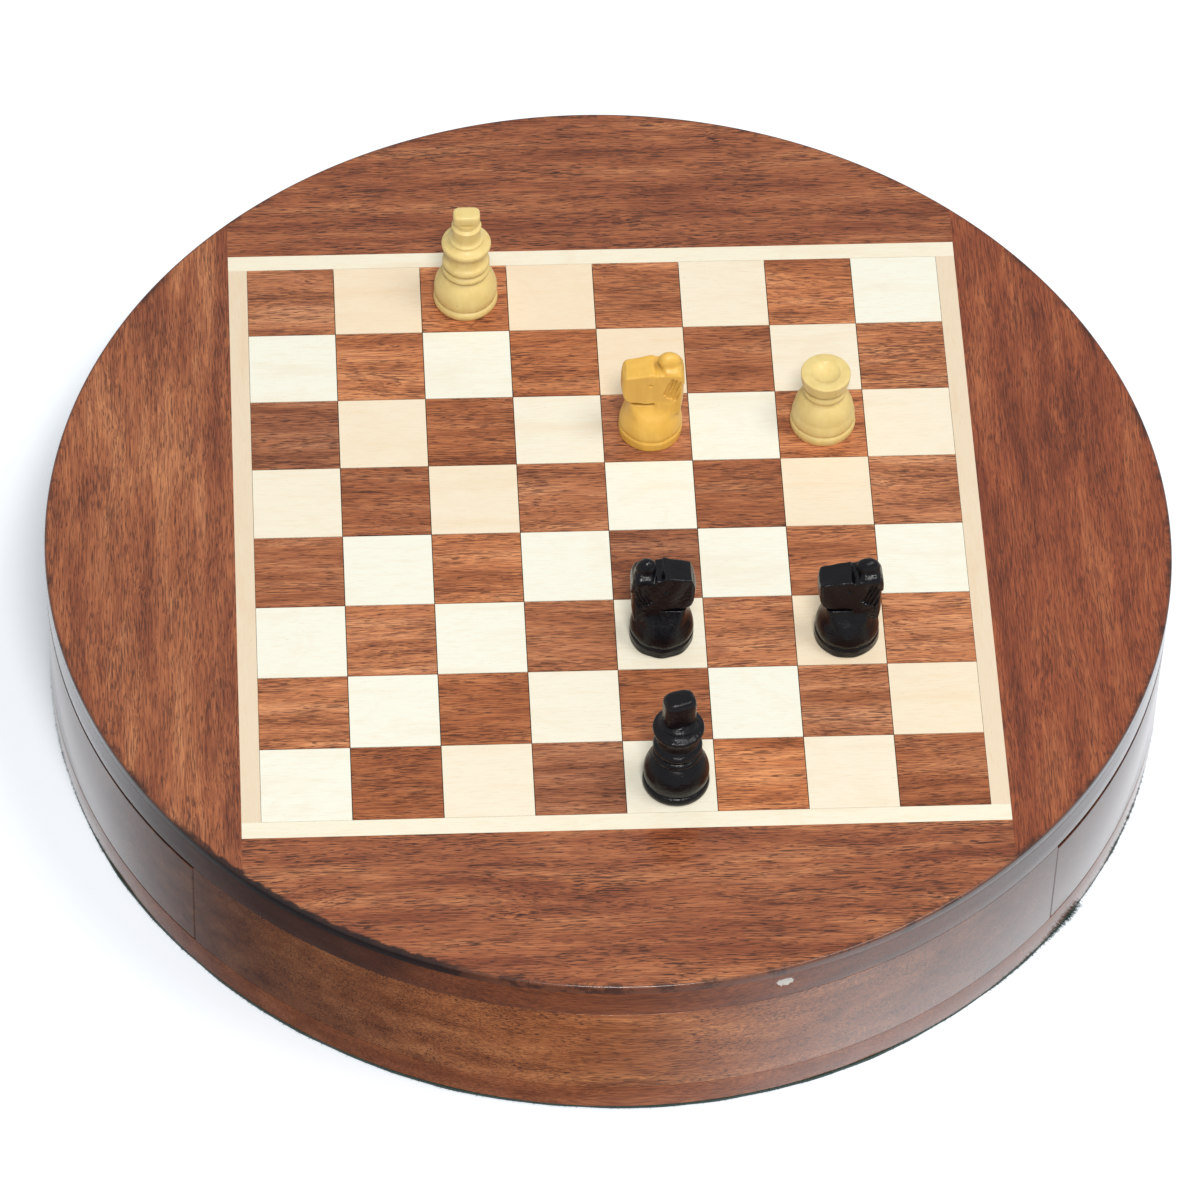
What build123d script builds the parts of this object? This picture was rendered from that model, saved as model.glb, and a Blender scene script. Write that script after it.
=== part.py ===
from build123d import *
import math
import os

# Round magnetic chess set. The case is three layers of wood: a bottom panel on felt, a middle
# layer with two drawers that slide out left and right, and a top panel that carries the inlaid
# board over a steel sheet. Six pieces stand on the board, each with a magnet in its foot, and
# the other twenty-six lie in the drawers.
# Millimetres. Origin at the middle of the felt's underside, +Z up, +X right, +Y to the rear.

# Board
SQUARE = 14.0
SQUARES_PER_SIDE = 8
GLUE_LINE = 0.12
STRIP_WIDTH = 3.0
CORNER_MARGIN = 5.46  # wood left outside each corner of the light border

# Layers of the case, from the bottom up
FELT_HEIGHT = 0.75
BOTTOM_HEIGHT = 5.0
MIDDLE_HEIGHT = 19.0
TOP_HEIGHT = 5.4
INLAY_HEIGHT = 1.6

# Steel sheet let into the top panel under the inlay
STEEL_HEIGHT = 0.4
STEEL_MARGIN = 1.5  # the sheet ends this far inside the border's outer edge
STEEL_GAP = 0.2  # room round the sheet in its pocket

# Drawers
DIVIDER_WIDTH = 8.0
DRAWER_FRONT = 8.0
DRAWER_SIDE = 5.0
DRAWER_BACK = 4.0
DRAWER_BOTTOM = 2.5
LINING_HEIGHT = 0.8
LINING_GAP = 0.3
DRAWER_SIDE_GAP = 0.3
DRAWER_BACK_GAP = 0.5
DRAWER_UNDER_GAP = 0.2
DRAWER_OVER_GAP = 0.5

# The pieces are many-sided rather than round, which keeps a set of thirty-two light
STANDING_SIDES = 20
STANDING_ARC_STEPS = 3
STOWED_SIDES = 8
STOWED_ARC_STEPS = 2

# Shared by all turned pieces
BASE_RADIUS = 5.1
PAWN_BASE_RADIUS = 4.7
FOOT_HEIGHT = 1.5
FOOT_GROOVE = 0.25
DOME_BULGE = 0.62
BEAD_BULGE = 0.45
BEAD_WIDTH = 1.4
BEAD_GAP = 0.4  # between two beads
COLLAR_FLARE = 0.6  # height over which a neck opens into its collar
HEAD_STEP = 0.4

# Magnet in the foot of each standing piece
MAGNET_RADIUS = 3.0
MAGNET_HEIGHT = 2.0
MAGNET_GLUE = 0.1

# King
KING_DOME_TOP = 6.8
KING_WAIST = 3.35
KING_BEAD = 3.8
KING_NECK = 3.15
KING_COLLAR = 3.95
KING_COLLAR_LOW = 13.1
KING_COLLAR_HEIGHT = 0.8
KING_HEAD_FOOT = 2.6
KING_HEAD = 2.3
KING_HEAD_LOW = 15.0
KING_HEAD_TOP = 17.8
KING_NOTCH = 1.0  # height of the notch between head and finial
KING_NOTCH_RADIUS = 1.9
KING_HEIGHT = 20.7
FINIAL_WIDTH = 4.3
FINIAL_DEPTH = 2.8
FINIAL_CORNER = 0.8

# Rook
ROOK_DOME_TOP = 7.1
ROOK_WAIST = 3.1
ROOK_BEAD = 3.55
ROOK_HEAD_LOW = 9.7
ROOK_HEAD_FOOT = 3.6
ROOK_HEAD = 4.0
ROOK_HEIGHT = 12.3
ROOK_CUP = 2.5
ROOK_CUP_FLOOR = 0.8
ROOK_CUP_DEPTH = 0.6

# Knight, facing -X
KNIGHT_BARREL_LOW = 2.3
KNIGHT_BARREL_TOP = 4.6
KNIGHT_SHOULDER_TOP = 8.5
KNIGHT_SHOULDER = 3.2
KNIGHT_SHOULDER_BULGE = 0.9
KNIGHT_BLANK = 4.85  # radius of the turned blank that the head is cut from
KNIGHT_THICK = 4.4
KNIGHT_CHEEK_THICK = 3.9
KNIGHT_THROAT_X = 0.2
KNIGHT_CHIN_X = -3.8
KNIGHT_CHIN_Z = 9.1
KNIGHT_CHIN_CUT = 0.4
KNIGHT_LIP_Z = 10.0
KNIGHT_MUZZLE_DEEP = 2.6
KNIGHT_MUZZLE_BACK = 0.4
KNIGHT_MUZZLE_TOP = 13.8
KNIGHT_BROW_TOP = 15.3
KNIGHT_NOTCH_X = 0.3
KNIGHT_NOTCH = 0.5
KNIGHT_HEIGHT = 18.6
KNIGHT_EAR_RADIUS = 1.9
KNIGHT_NECK_RADIUS = 3.6
KNIGHT_NECK_TIP = 1.6
KNIGHT_NECK_TOP = 11.4
KNIGHT_MANE_CUTS = 3
KNIGHT_MANE_CUT = 0.3
KNIGHT_MANE_PITCH = 1.0
KNIGHT_MANE_LENGTH = 3.4
KNIGHT_MANE_ANGLE = 24.0
KNIGHT_MANE_Z = 12.4

# Pawn, bishop and queen
BALL_RINGS = (-30, 15, 60)  # degrees up a ball at which it has its rings
PAWN_DOME_TOP = 5.0
PAWN_WAIST = 2.3
PAWN_BEAD = 3.0
PAWN_NECK = 1.7
PAWN_HEAD = 2.5
PAWN_HEAD_Z = 8.9
BISHOP_DOME_TOP = 6.4
BISHOP_WAIST = 2.9
BISHOP_NECK = 2.1
BISHOP_COLLAR = 3.2
BISHOP_COLLAR_Z = 9.6
BISHOP_HEAD = 2.5
BISHOP_HEAD_Z = 12.2
BISHOP_TIP = 0.6
BISHOP_HEIGHT = 15.2
QUEEN_CROWN = 3.0
QUEEN_CROWN_Z = 17.0
QUEEN_BALL = 1.2
QUEEN_BALL_Z = 17.8

# Stowed pieces
STOWED_GAP = 0.1
STOWED_BACK_GAP = 16.0  # room between the drawer's back and the pawns
STOWED_ROW_GAP = 2.0
STOWED_SWING = 8.0  # most degrees that a piece lies off straight

# Standing pieces: file from the left, rank from the rear, and how far off the square's centre
WHITE_KING_AT = (2, 0, 0.2, 0.2)
WHITE_KNIGHT_AT = (4, 2, 0.6, -0.1)
WHITE_ROOK_AT = (6, 2, 0.2, 0.3)
BLACK_KNIGHT_LEFT_AT = (4, 5, 0.1, 0.0)
BLACK_KNIGHT_RIGHT_AT = (6, 5, 1.0, -0.8)
BLACK_KING_AT = (4, 7, 0.8, -0.9)
BLACK_KING_TURN = 24.0

# Worked out from the sizes above
FIELD_HALF = SQUARE * SQUARES_PER_SIDE / 2
FRAME_HALF = FIELD_HALF + STRIP_WIDTH
CASE_RADIUS = math.hypot(FRAME_HALF, FRAME_HALF) + CORNER_MARGIN
BOTTOM_Z = FELT_HEIGHT
MIDDLE_Z = BOTTOM_Z + BOTTOM_HEIGHT
TOP_Z = MIDDLE_Z + MIDDLE_HEIGHT
INLAY_Z = TOP_Z + TOP_HEIGHT
BOARD_Z = INLAY_Z + INLAY_HEIGHT
DRAWER_Z = MIDDLE_Z + DRAWER_UNDER_GAP
DRAWER_TOP = TOP_Z - DRAWER_OVER_GAP
DRAWER_HALF = FRAME_HALF - DRAWER_SIDE_GAP
INSIDE_HALF = DRAWER_HALF - DRAWER_SIDE
INSIDE_RADIUS = CASE_RADIUS - DRAWER_FRONT
BACK_X = DIVIDER_WIDTH / 2 + DRAWER_BACK_GAP
INSIDE_X = BACK_X + DRAWER_BACK
RAIL_END = math.sqrt(INSIDE_RADIUS**2 - INSIDE_HALF**2)
LINING_TOP = DRAWER_Z + DRAWER_BOTTOM + LINING_HEIGHT


def slab(x_low, x_high, y_low, y_high, z_low, z_high):
    """A box between two corners."""
    size = (x_high - x_low, y_high - y_low, z_high - z_low)
    middle = ((x_low + x_high) / 2, (y_low + y_high) / 2, (z_low + z_high) / 2)
    return Pos(*middle) * Box(*size)


def disc(radius, z_low, z_high):
    """A round layer of the case."""
    return Pos(0, 0, (z_low + z_high) / 2) * Cylinder(radius, z_high - z_low)


# Case


def case_segment(y_sign, z_low, z_high):
    """The round segment in front of or behind the drawers."""
    near, far = sorted((y_sign * FRAME_HALF, y_sign * CASE_RADIUS))
    segment = slab(-CASE_RADIUS, CASE_RADIUS, near, far, z_low, z_high)
    return disc(CASE_RADIUS, z_low, z_high) & segment


def centre_divider():
    half = DIVIDER_WIDTH / 2
    return slab(-half, half, -FRAME_HALF, FRAME_HALF, MIDDLE_Z, TOP_Z)


def steel_outline(gap):
    """Half the side of the steel sheet, grown by a gap."""
    return FRAME_HALF - STEEL_MARGIN + gap


def top_panel():
    half = steel_outline(STEEL_GAP)
    pocket = slab(-half, half, -half, half, INLAY_Z - STEEL_HEIGHT, INLAY_Z)
    return disc(CASE_RADIUS, TOP_Z, INLAY_Z) - pocket


def steel_sheet():
    half = steel_outline(0)
    return slab(-half, half, -half, half, INLAY_Z - STEEL_HEIGHT, INLAY_Z)


# Inlay


def square_centre(file, rank):
    """The middle of a square, files counted from the left and ranks from the rear."""
    x = (file + 0.5) * SQUARE - FIELD_HALF
    y = FIELD_HALF - (rank + 0.5) * SQUARE
    return x, y


def board_squares(dark):
    """All the squares of one colour, with a glue line between neighbours."""
    half = (SQUARE - GLUE_LINE) / 2
    squares = []
    for file in range(SQUARES_PER_SIDE):
        for rank in range(SQUARES_PER_SIDE):
            if ((file + rank) % 2 == 0) == dark:
                x, y = square_centre(file, rank)
                squares.append(slab(x - half, x + half, y - half, y + half, INLAY_Z, BOARD_Z))
    return Compound(children=squares)


def border_strip(across, sign):
    """One light strip: across ones run the full width, the others fit between them."""
    inner, outer = sorted((sign * FIELD_HALF, sign * FRAME_HALF))
    if across:
        return slab(-FRAME_HALF, FRAME_HALF, inner, outer, INLAY_Z, BOARD_Z)
    return slab(inner, outer, -FIELD_HALF, FIELD_HALF, INLAY_Z, BOARD_Z)


def rim_segment(across, sign):
    """One segment of the dark rim: the side ones run full length, the others fit between them."""
    rim = disc(CASE_RADIUS, INLAY_Z, BOARD_Z)
    inner, outer = sorted((sign * FRAME_HALF, sign * CASE_RADIUS))
    if across:
        return rim & slab(-FRAME_HALF, FRAME_HALF, inner, outer, INLAY_Z, BOARD_Z)
    return rim & slab(inner, outer, -CASE_RADIUS, CASE_RADIUS, INLAY_Z, BOARD_Z)


# Drawers, made for the right-hand side


def inside_plan(gap):
    """Plan of a drawer's inside, drawn in by a gap: straight sides and a round front."""
    half = INSIDE_HALF - gap
    low, high = INSIDE_X + gap, INSIDE_RADIUS
    return Circle(INSIDE_RADIUS - gap) & Pos((low + high) / 2, 0) * Rectangle(high - low, 2 * half)


def drawer_front():
    """The round front, rabbeted at each end for the sides."""
    ends = Pos((RAIL_END + CASE_RADIUS) / 2, 0) * Rectangle(CASE_RADIUS - RAIL_END, 2 * DRAWER_HALF)
    hollow = Circle(INSIDE_RADIUS) & Rectangle(2 * CASE_RADIUS, 2 * INSIDE_HALF)
    plan = (Circle(CASE_RADIUS) & ends) - hollow
    return Pos(0, 0, DRAWER_Z) * extrude(plan, DRAWER_TOP - DRAWER_Z)


def drawer_side(y_sign):
    near, far = sorted((y_sign * INSIDE_HALF, y_sign * DRAWER_HALF))
    return slab(BACK_X, RAIL_END, near, far, DRAWER_Z, DRAWER_TOP)


def drawer_back():
    return slab(BACK_X, INSIDE_X, -INSIDE_HALF, INSIDE_HALF, DRAWER_Z, DRAWER_TOP)


def drawer_bottom():
    return Pos(0, 0, DRAWER_Z) * extrude(inside_plan(0), DRAWER_BOTTOM)


def drawer_lining():
    return Pos(0, 0, DRAWER_Z + DRAWER_BOTTOM) * extrude(inside_plan(LINING_GAP), LINING_HEIGHT)


# Outlines of the pieces. A station is (radius, height, bulge): the outline runs there from the
# station before it, straight where the bulge is 0 and as an arc that swells by the bulge if not.


def foot_and_dome(base_radius, waist, dome_top):
    """The foot, the groove above it and the dome that closes to the waist."""
    return [
        (base_radius, 0, 0),
        (base_radius, FOOT_HEIGHT, 0),
        (base_radius - FOOT_GROOVE, FOOT_HEIGHT + FOOT_GROOVE, 0),
        (waist, dome_top, DOME_BULGE),
    ]


def bead(radius, low):
    """A ring that stands out of the waist."""
    flank = radius - BEAD_BULGE
    return [(flank, low, 0), (radius, low + BEAD_WIDTH / 2, 0), (flank, low + BEAD_WIDTH, 0)]


def ball(radius, middle):
    """A ball from just under its widest ring up to its flat tip."""
    turns = [math.radians(degrees) for degrees in BALL_RINGS]
    return [(radius * math.cos(turn), middle + radius * math.sin(turn), 0) for turn in turns]


def stem_and_collar():
    """Foot, dome, two beads, neck and collar of the king and the queen."""
    second_bead = KING_DOME_TOP + BEAD_WIDTH + BEAD_GAP
    stations = foot_and_dome(BASE_RADIUS, KING_WAIST, KING_DOME_TOP)
    stations += bead(KING_BEAD, KING_DOME_TOP + BEAD_GAP / 2)
    stations += bead(KING_BEAD, second_bead + BEAD_GAP / 2)
    stations += [
        (KING_NECK, second_bead + BEAD_WIDTH + BEAD_GAP, 0),
        (KING_NECK, KING_COLLAR_LOW - COLLAR_FLARE, 0),
        (KING_COLLAR, KING_COLLAR_LOW, 0),
        (KING_COLLAR, KING_COLLAR_LOW + KING_COLLAR_HEIGHT, 0),
        (KING_HEAD_FOOT, KING_HEAD_LOW, 0),
        (KING_HEAD, KING_HEAD_LOW + HEAD_STEP, 0),
    ]
    return stations


def king_outline():
    """Up to the notch under the finial."""
    return stem_and_collar() + [
        (KING_HEAD, KING_HEAD_TOP, 0),
        (KING_NOTCH_RADIUS, KING_HEAD_TOP + HEAD_STEP, 0),
        (KING_NOTCH_RADIUS, KING_HEAD_TOP + KING_NOTCH, 0),
    ]


def queen_outline():
    return stem_and_collar() + [
        (QUEEN_CROWN, QUEEN_CROWN_Z, 0),
        *ball(QUEEN_BALL, QUEEN_BALL_Z),
    ]


def rook_outline():
    """With the shallow cup in the top of the head."""
    bead_low = ROOK_DOME_TOP + BEAD_GAP / 2
    stations = foot_and_dome(BASE_RADIUS, ROOK_WAIST, ROOK_DOME_TOP) + bead(ROOK_BEAD, bead_low)
    stations += [
        (ROOK_WAIST, bead_low + BEAD_WIDTH + BEAD_GAP, 0),
        (ROOK_HEAD_FOOT, ROOK_HEAD_LOW, 0),
        (ROOK_HEAD, ROOK_HEIGHT, 0),
    ]
    return stations


def bishop_outline():
    return foot_and_dome(BASE_RADIUS, BISHOP_WAIST, BISHOP_DOME_TOP) + [
        (BISHOP_NECK, BISHOP_COLLAR_Z - COLLAR_FLARE, 0),
        (BISHOP_COLLAR, BISHOP_COLLAR_Z, 0),
        (BISHOP_NECK, BISHOP_COLLAR_Z + COLLAR_FLARE, 0),
        (BISHOP_HEAD, BISHOP_HEAD_Z, 0),
        (BISHOP_TIP, BISHOP_HEIGHT, 0),
    ]


def pawn_outline():
    return foot_and_dome(PAWN_BASE_RADIUS, PAWN_WAIST, PAWN_DOME_TOP) + [
        (PAWN_BEAD, PAWN_DOME_TOP + COLLAR_FLARE, 0),
        (PAWN_NECK, PAWN_DOME_TOP + 2 * COLLAR_FLARE, 0),
        *ball(PAWN_HEAD, PAWN_HEAD_Z),
    ]


def outline_levels(stations, arc_steps):
    """The outline as (radius, height) pairs, with each arc cut into steps."""
    levels = [stations[0][:2]]
    for start, end in zip(stations, stations[1:]):
        if end[2]:
            arc = SagittaArc(start[:2], end[:2], -end[2])
            levels += [tuple(arc @ (step / arc_steps))[:2] for step in range(1, arc_steps)]
        levels.append(end[:2])
    return levels


def turned(stations, sides, arc_steps):
    """A piece turned about +Z from its outline, with flat sides in place of a true round."""
    turns = [math.tau * (index + 0.5) / sides for index in range(sides)]
    rings = []
    for radius, height in outline_levels(stations, arc_steps):
        rings.append([(radius * math.cos(turn), radius * math.sin(turn), height) for turn in turns])
    faces = [Face(Wire.make_polygon(rings[0])), Face(Wire.make_polygon(rings[-1]))]
    for lower, upper in zip(rings, rings[1:]):
        for index in range(sides):
            corners = [lower[index - 1], lower[index], upper[index], upper[index - 1]]
            faces.append(Face(Wire.make_polygon(corners)))
    return Solid(Shell(faces))


# Standing pieces


def stand_turned(stations):
    return turned(stations, STANDING_SIDES, STANDING_ARC_STEPS)


def magnet(glue):
    """The magnet with its foot at the bottom, grown by the glue round it."""
    radius = MAGNET_RADIUS + glue
    return stand_turned([(radius, 0, 0), (radius, MAGNET_HEIGHT + glue, 0)])


def king():
    """The turned king with its flat-sided finial."""
    finial_low = KING_HEAD_TOP + KING_NOTCH
    finial_plan = RectangleRounded(FINIAL_WIDTH, FINIAL_DEPTH, FINIAL_CORNER)
    finial = extrude(finial_plan, KING_HEIGHT - finial_low)
    return stand_turned(king_outline()) + Pos(0, 0, finial_low) * finial


def rook():
    """The turned rook, dished in the top."""
    cup = [(ROOK_CUP_FLOOR, ROOK_HEIGHT - ROOK_CUP_DEPTH, 0), (ROOK_CUP, ROOK_HEIGHT, 0)]
    return stand_turned(rook_outline()) - stand_turned(cup)


def knight_outline():
    """The turned lower part of a knight: foot, groove, barrel and rounded shoulder."""
    return [
        (BASE_RADIUS, 0, 0),
        (BASE_RADIUS, FOOT_HEIGHT, 0),
        (BASE_RADIUS - FOOT_GROOVE, FOOT_HEIGHT + FOOT_GROOVE, 0),
        (BASE_RADIUS, KNIGHT_BARREL_LOW, 0),
        (BASE_RADIUS, KNIGHT_BARREL_TOP, 0),
        (KNIGHT_SHOULDER, KNIGHT_SHOULDER_TOP, KNIGHT_SHOULDER_BULGE),
    ]


def knight_side(ear):
    """The head seen from the side, muzzle towards -X, with the round ear behind the notch."""
    low = KNIGHT_BARREL_TOP
    face = Polyline(
        (KNIGHT_THROAT_X, low),
        (KNIGHT_THROAT_X, KNIGHT_CHIN_Z - KNIGHT_CHIN_CUT),
        (KNIGHT_CHIN_X, KNIGHT_CHIN_Z),
        (-KNIGHT_BLANK, KNIGHT_LIP_Z),
        (-KNIGHT_BLANK, KNIGHT_LIP_Z + KNIGHT_MUZZLE_DEEP),
        (-KNIGHT_BLANK + KNIGHT_MUZZLE_BACK, KNIGHT_MUZZLE_TOP),
        (KNIGHT_NOTCH_X, KNIGHT_BROW_TOP),
        (KNIGHT_NOTCH_X + KNIGHT_NOTCH, KNIGHT_BROW_TOP - KNIGHT_NOTCH),
        (KNIGHT_BLANK, KNIGHT_BROW_TOP - KNIGHT_NOTCH),
        (KNIGHT_BLANK, low),
        close=True,
    )
    ear_x = KNIGHT_NOTCH_X + KNIGHT_EAR_RADIUS
    ear_z = KNIGHT_HEIGHT - KNIGHT_EAR_RADIUS
    crest_low = KNIGHT_BROW_TOP - 2 * KNIGHT_NOTCH
    crest = Pos(ear_x, (crest_low + ear_z) / 2) * Rectangle(2 * KNIGHT_EAR_RADIUS, ear_z - crest_low)
    return make_face(face) + crest + Pos(ear_x, ear_z) * ear


def knight_plan():
    """The head seen from above: flat cheeks that close towards the muzzle."""
    cheek, neck = KNIGHT_CHEEK_THICK / 2, KNIGHT_THICK / 2
    return make_face(
        Polyline(
            (-BASE_RADIUS, -cheek),
            (KNIGHT_NOTCH_X, -neck),
            (BASE_RADIUS, -neck),
            (BASE_RADIUS, neck),
            (KNIGHT_NOTCH_X, neck),
            (-BASE_RADIUS, cheek),
            close=True,
        )
    )


def knight_head(ear, blank):
    """The head block cut from the blank."""
    side = extrude(Plane.XZ * knight_side(ear), BASE_RADIUS, both=True)
    return side & extrude(knight_plan(), KNIGHT_HEIGHT) & blank


def mane_cuts():
    """Slanting saw cuts down both sides of the mane."""
    cuts = []
    for side in (-1, 1):
        for index in range(KNIGHT_MANE_CUTS):
            x = KNIGHT_BLANK - (index + 1) * KNIGHT_MANE_PITCH
            cut = Box(KNIGHT_MANE_CUT, 2 * KNIGHT_MANE_CUT, KNIGHT_MANE_LENGTH)
            spot = Pos(x, side * KNIGHT_THICK / 2, KNIGHT_MANE_Z)
            cuts.append(spot * Rot(0, KNIGHT_MANE_ANGLE, 0) * cut)
    return cuts


def knight():
    """The knight, carved from a turned blank and facing -X."""
    blank = stand_turned([(KNIGHT_BLANK, 0, 0), (KNIGHT_BLANK, KNIGHT_HEIGHT, 0)])
    neck = stand_turned([(KNIGHT_NECK_RADIUS, KNIGHT_BARREL_TOP, 0), (KNIGHT_NECK_TIP, KNIGHT_NECK_TOP, 0)])
    neck = Pos(KNIGHT_BLANK - KNIGHT_NECK_RADIUS, 0, 0) * neck & blank
    head = knight_head(RegularPolygon(KNIGHT_EAR_RADIUS, STANDING_SIDES), blank)
    return stand_turned(knight_outline()) + neck + (head - mane_cuts())


def standing(piece, place, turn=0):
    """The wood and the magnet of a piece, set on its square."""
    file, rank, off_x, off_y = place
    x, y = square_centre(file, rank)
    spot = Pos(x + off_x, y + off_y, BOARD_Z) * Rot(0, 0, turn)
    return spot * (piece - magnet(MAGNET_GLUE)), spot * magnet(0)


# Pieces in the drawers


def stow_turned(stations):
    return turned(stations, STOWED_SIDES, STOWED_ARC_STEPS)


def stowed_knight():
    """A knight for the drawer, with fewer sides and no mane cuts."""
    blank = stow_turned([(KNIGHT_BLANK, 0, 0), (KNIGHT_BLANK, KNIGHT_HEIGHT, 0)])
    ear = RegularPolygon(KNIGHT_EAR_RADIUS, STOWED_SIDES)
    return stow_turned(knight_outline()) + knight_head(ear, blank)


def lay_down(piece, outline, x, y):
    """The piece on its side on the lining, foot towards the divider, resting on rim and head."""
    rim_radius, rim_z = outline[1][:2]
    above = [(radius, z) for radius, z, bulge in outline[2:] if z > rim_z + FOOT_HEIGHT]
    lean = min(math.atan2(rim_radius - radius, z - rim_z) for radius, z in above)
    swing = STOWED_SWING * math.sin(x + y)
    piece = Rot(0, 0, swing) * Rot(0, 90 + math.degrees(lean), 0) * piece
    box = piece.bounding_box()
    return Pos(x - box.min.X, y, LINING_TOP + STOWED_GAP - box.min.Z) * piece


def row_places(count):
    """The places of a row of pieces spread over the drawer's width."""
    pitch = 2 * INSIDE_HALF / count
    return [(index - (count - 1) / 2) * pitch for index in range(count)]


def pawn_row():
    """Eight pawns side by side."""
    outline = pawn_outline()
    pawn = stow_turned(outline)
    x = INSIDE_X + STOWED_BACK_GAP
    return [lay_down(pawn, outline, x, y) for y in row_places(SQUARES_PER_SIDE)]


def officer(kind, x, y):
    """One stowed piece of the row in front of the pawns."""
    if kind == "knight":
        outline = knight_outline()[:2] + [(KNIGHT_THICK / 2, KNIGHT_HEIGHT, 0)]
        return lay_down(Rot(0, 0, 90) * stowed_knight(), outline, x, y)
    outline = {"queen": queen_outline, "bishop": bishop_outline, "rook": rook_outline}[kind]()
    return lay_down(stow_turned(outline), outline, x, y)


# Everything, by node


def case_nodes():
    nodes = {
        "base_felt": disc(CASE_RADIUS, 0, BOTTOM_Z),
        "bottom_panel": disc(CASE_RADIUS, BOTTOM_Z, MIDDLE_Z),
        "centre_divider": centre_divider(),
        "top_panel": top_panel(),
        "steel_sheet": steel_sheet(),
        "board_dark_squares": board_squares(True),
        "board_light_squares": board_squares(False),
    }
    for name, sign in (("front", -1), ("rear", 1)):
        nodes[name + "_block"] = case_segment(sign, MIDDLE_Z, TOP_Z)
        nodes["border_strip_" + name] = border_strip(True, sign)
        nodes["rim_segment_" + name] = rim_segment(True, sign)
    for name, sign in (("left", -1), ("right", 1)):
        nodes["border_strip_" + name] = border_strip(False, sign)
        nodes["rim_segment_" + name] = rim_segment(False, sign)
    return nodes


def drawer_nodes(name, side):
    """The parts of one drawer, turned to its side of the case."""
    return {
        name + "_front": side * drawer_front(),
        name + "_side_front": side * drawer_side(-1),
        name + "_side_rear": side * drawer_side(1),
        name + "_back": side * drawer_back(),
        name + "_bottom": side * drawer_bottom(),
        name + "_lining": side * drawer_lining(),
    }


def stowed_nodes(colour, side, officers):
    """The pieces in one drawer, a node for each kind: a row of pawns, then a row of officers."""
    kinds = {"pawn": pawn_row()}
    x = max(pawn.bounding_box().max.X for pawn in kinds["pawn"]) + STOWED_ROW_GAP
    for kind, y in zip(officers, row_places(len(officers))):
        kinds.setdefault(kind, []).append(officer(kind, x, y))
    nodes = {}
    for kind, pieces in kinds.items():
        if len(pieces) > 1:
            nodes[f"{colour}_{kind}s_stowed"] = Compound(children=[side * piece for piece in pieces])
        else:
            nodes[f"{colour}_{kind}_stowed"] = side * pieces[0]
    return nodes


def standing_nodes():
    """The six pieces on the board, wood and magnet apart."""
    turned_round = Rot(0, 0, 180)
    pieces = {
        "white_king": standing(king(), WHITE_KING_AT),
        "white_knight": standing(knight(), WHITE_KNIGHT_AT),
        "white_rook": standing(rook(), WHITE_ROOK_AT),
        "black_knight_left": standing(turned_round * knight(), BLACK_KNIGHT_LEFT_AT),
        "black_knight_right": standing(knight(), BLACK_KNIGHT_RIGHT_AT),
        "black_king": standing(king(), BLACK_KING_AT, BLACK_KING_TURN),
    }
    nodes = {}
    for name, (wood, foot_magnet) in pieces.items():
        nodes[name] = wood
        nodes[name + "_magnet"] = foot_magnet
    return nodes


def main():
    right, left = Rot(0, 0, 0), Rot(0, 0, 180)
    nodes = case_nodes()
    nodes.update(drawer_nodes("drawer_right", right))
    nodes.update(drawer_nodes("drawer_left", left))
    nodes.update(stowed_nodes("white", right, ("rook", "bishop", "queen", "bishop", "knight")))
    nodes.update(stowed_nodes("black", left, ("rook", "bishop", "queen", "bishop", "rook")))
    nodes.update(standing_nodes())
    os.makedirs("parts", exist_ok=True)
    for name, shape in nodes.items():
        export_step(shape, f"parts/{name}.step")


main()
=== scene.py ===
import math
import random
from collections import namedtuple

import bpy
import numpy as np
from mathutils import Matrix, Vector


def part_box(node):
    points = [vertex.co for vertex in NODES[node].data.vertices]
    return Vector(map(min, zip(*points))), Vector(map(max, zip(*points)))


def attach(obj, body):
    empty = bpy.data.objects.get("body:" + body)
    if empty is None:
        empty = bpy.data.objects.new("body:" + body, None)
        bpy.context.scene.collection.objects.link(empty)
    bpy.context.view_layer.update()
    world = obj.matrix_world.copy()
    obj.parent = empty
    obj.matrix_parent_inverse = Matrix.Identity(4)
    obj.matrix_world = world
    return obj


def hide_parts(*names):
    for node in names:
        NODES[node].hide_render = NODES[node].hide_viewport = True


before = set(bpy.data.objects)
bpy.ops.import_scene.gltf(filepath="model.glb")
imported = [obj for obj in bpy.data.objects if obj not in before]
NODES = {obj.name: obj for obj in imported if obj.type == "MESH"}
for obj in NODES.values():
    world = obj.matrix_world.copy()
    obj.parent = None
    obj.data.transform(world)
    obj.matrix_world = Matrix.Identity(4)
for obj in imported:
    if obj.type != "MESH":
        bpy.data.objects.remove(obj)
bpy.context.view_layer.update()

# The looks of a round wooden chess set with two drawers. Places and sizes of the case come from
# the frame, in metres. The chess pieces are drawn in millimetres about their own axes and set
# where the frame has them.
SCENE = bpy.context.scene
MM = 0.001

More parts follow.
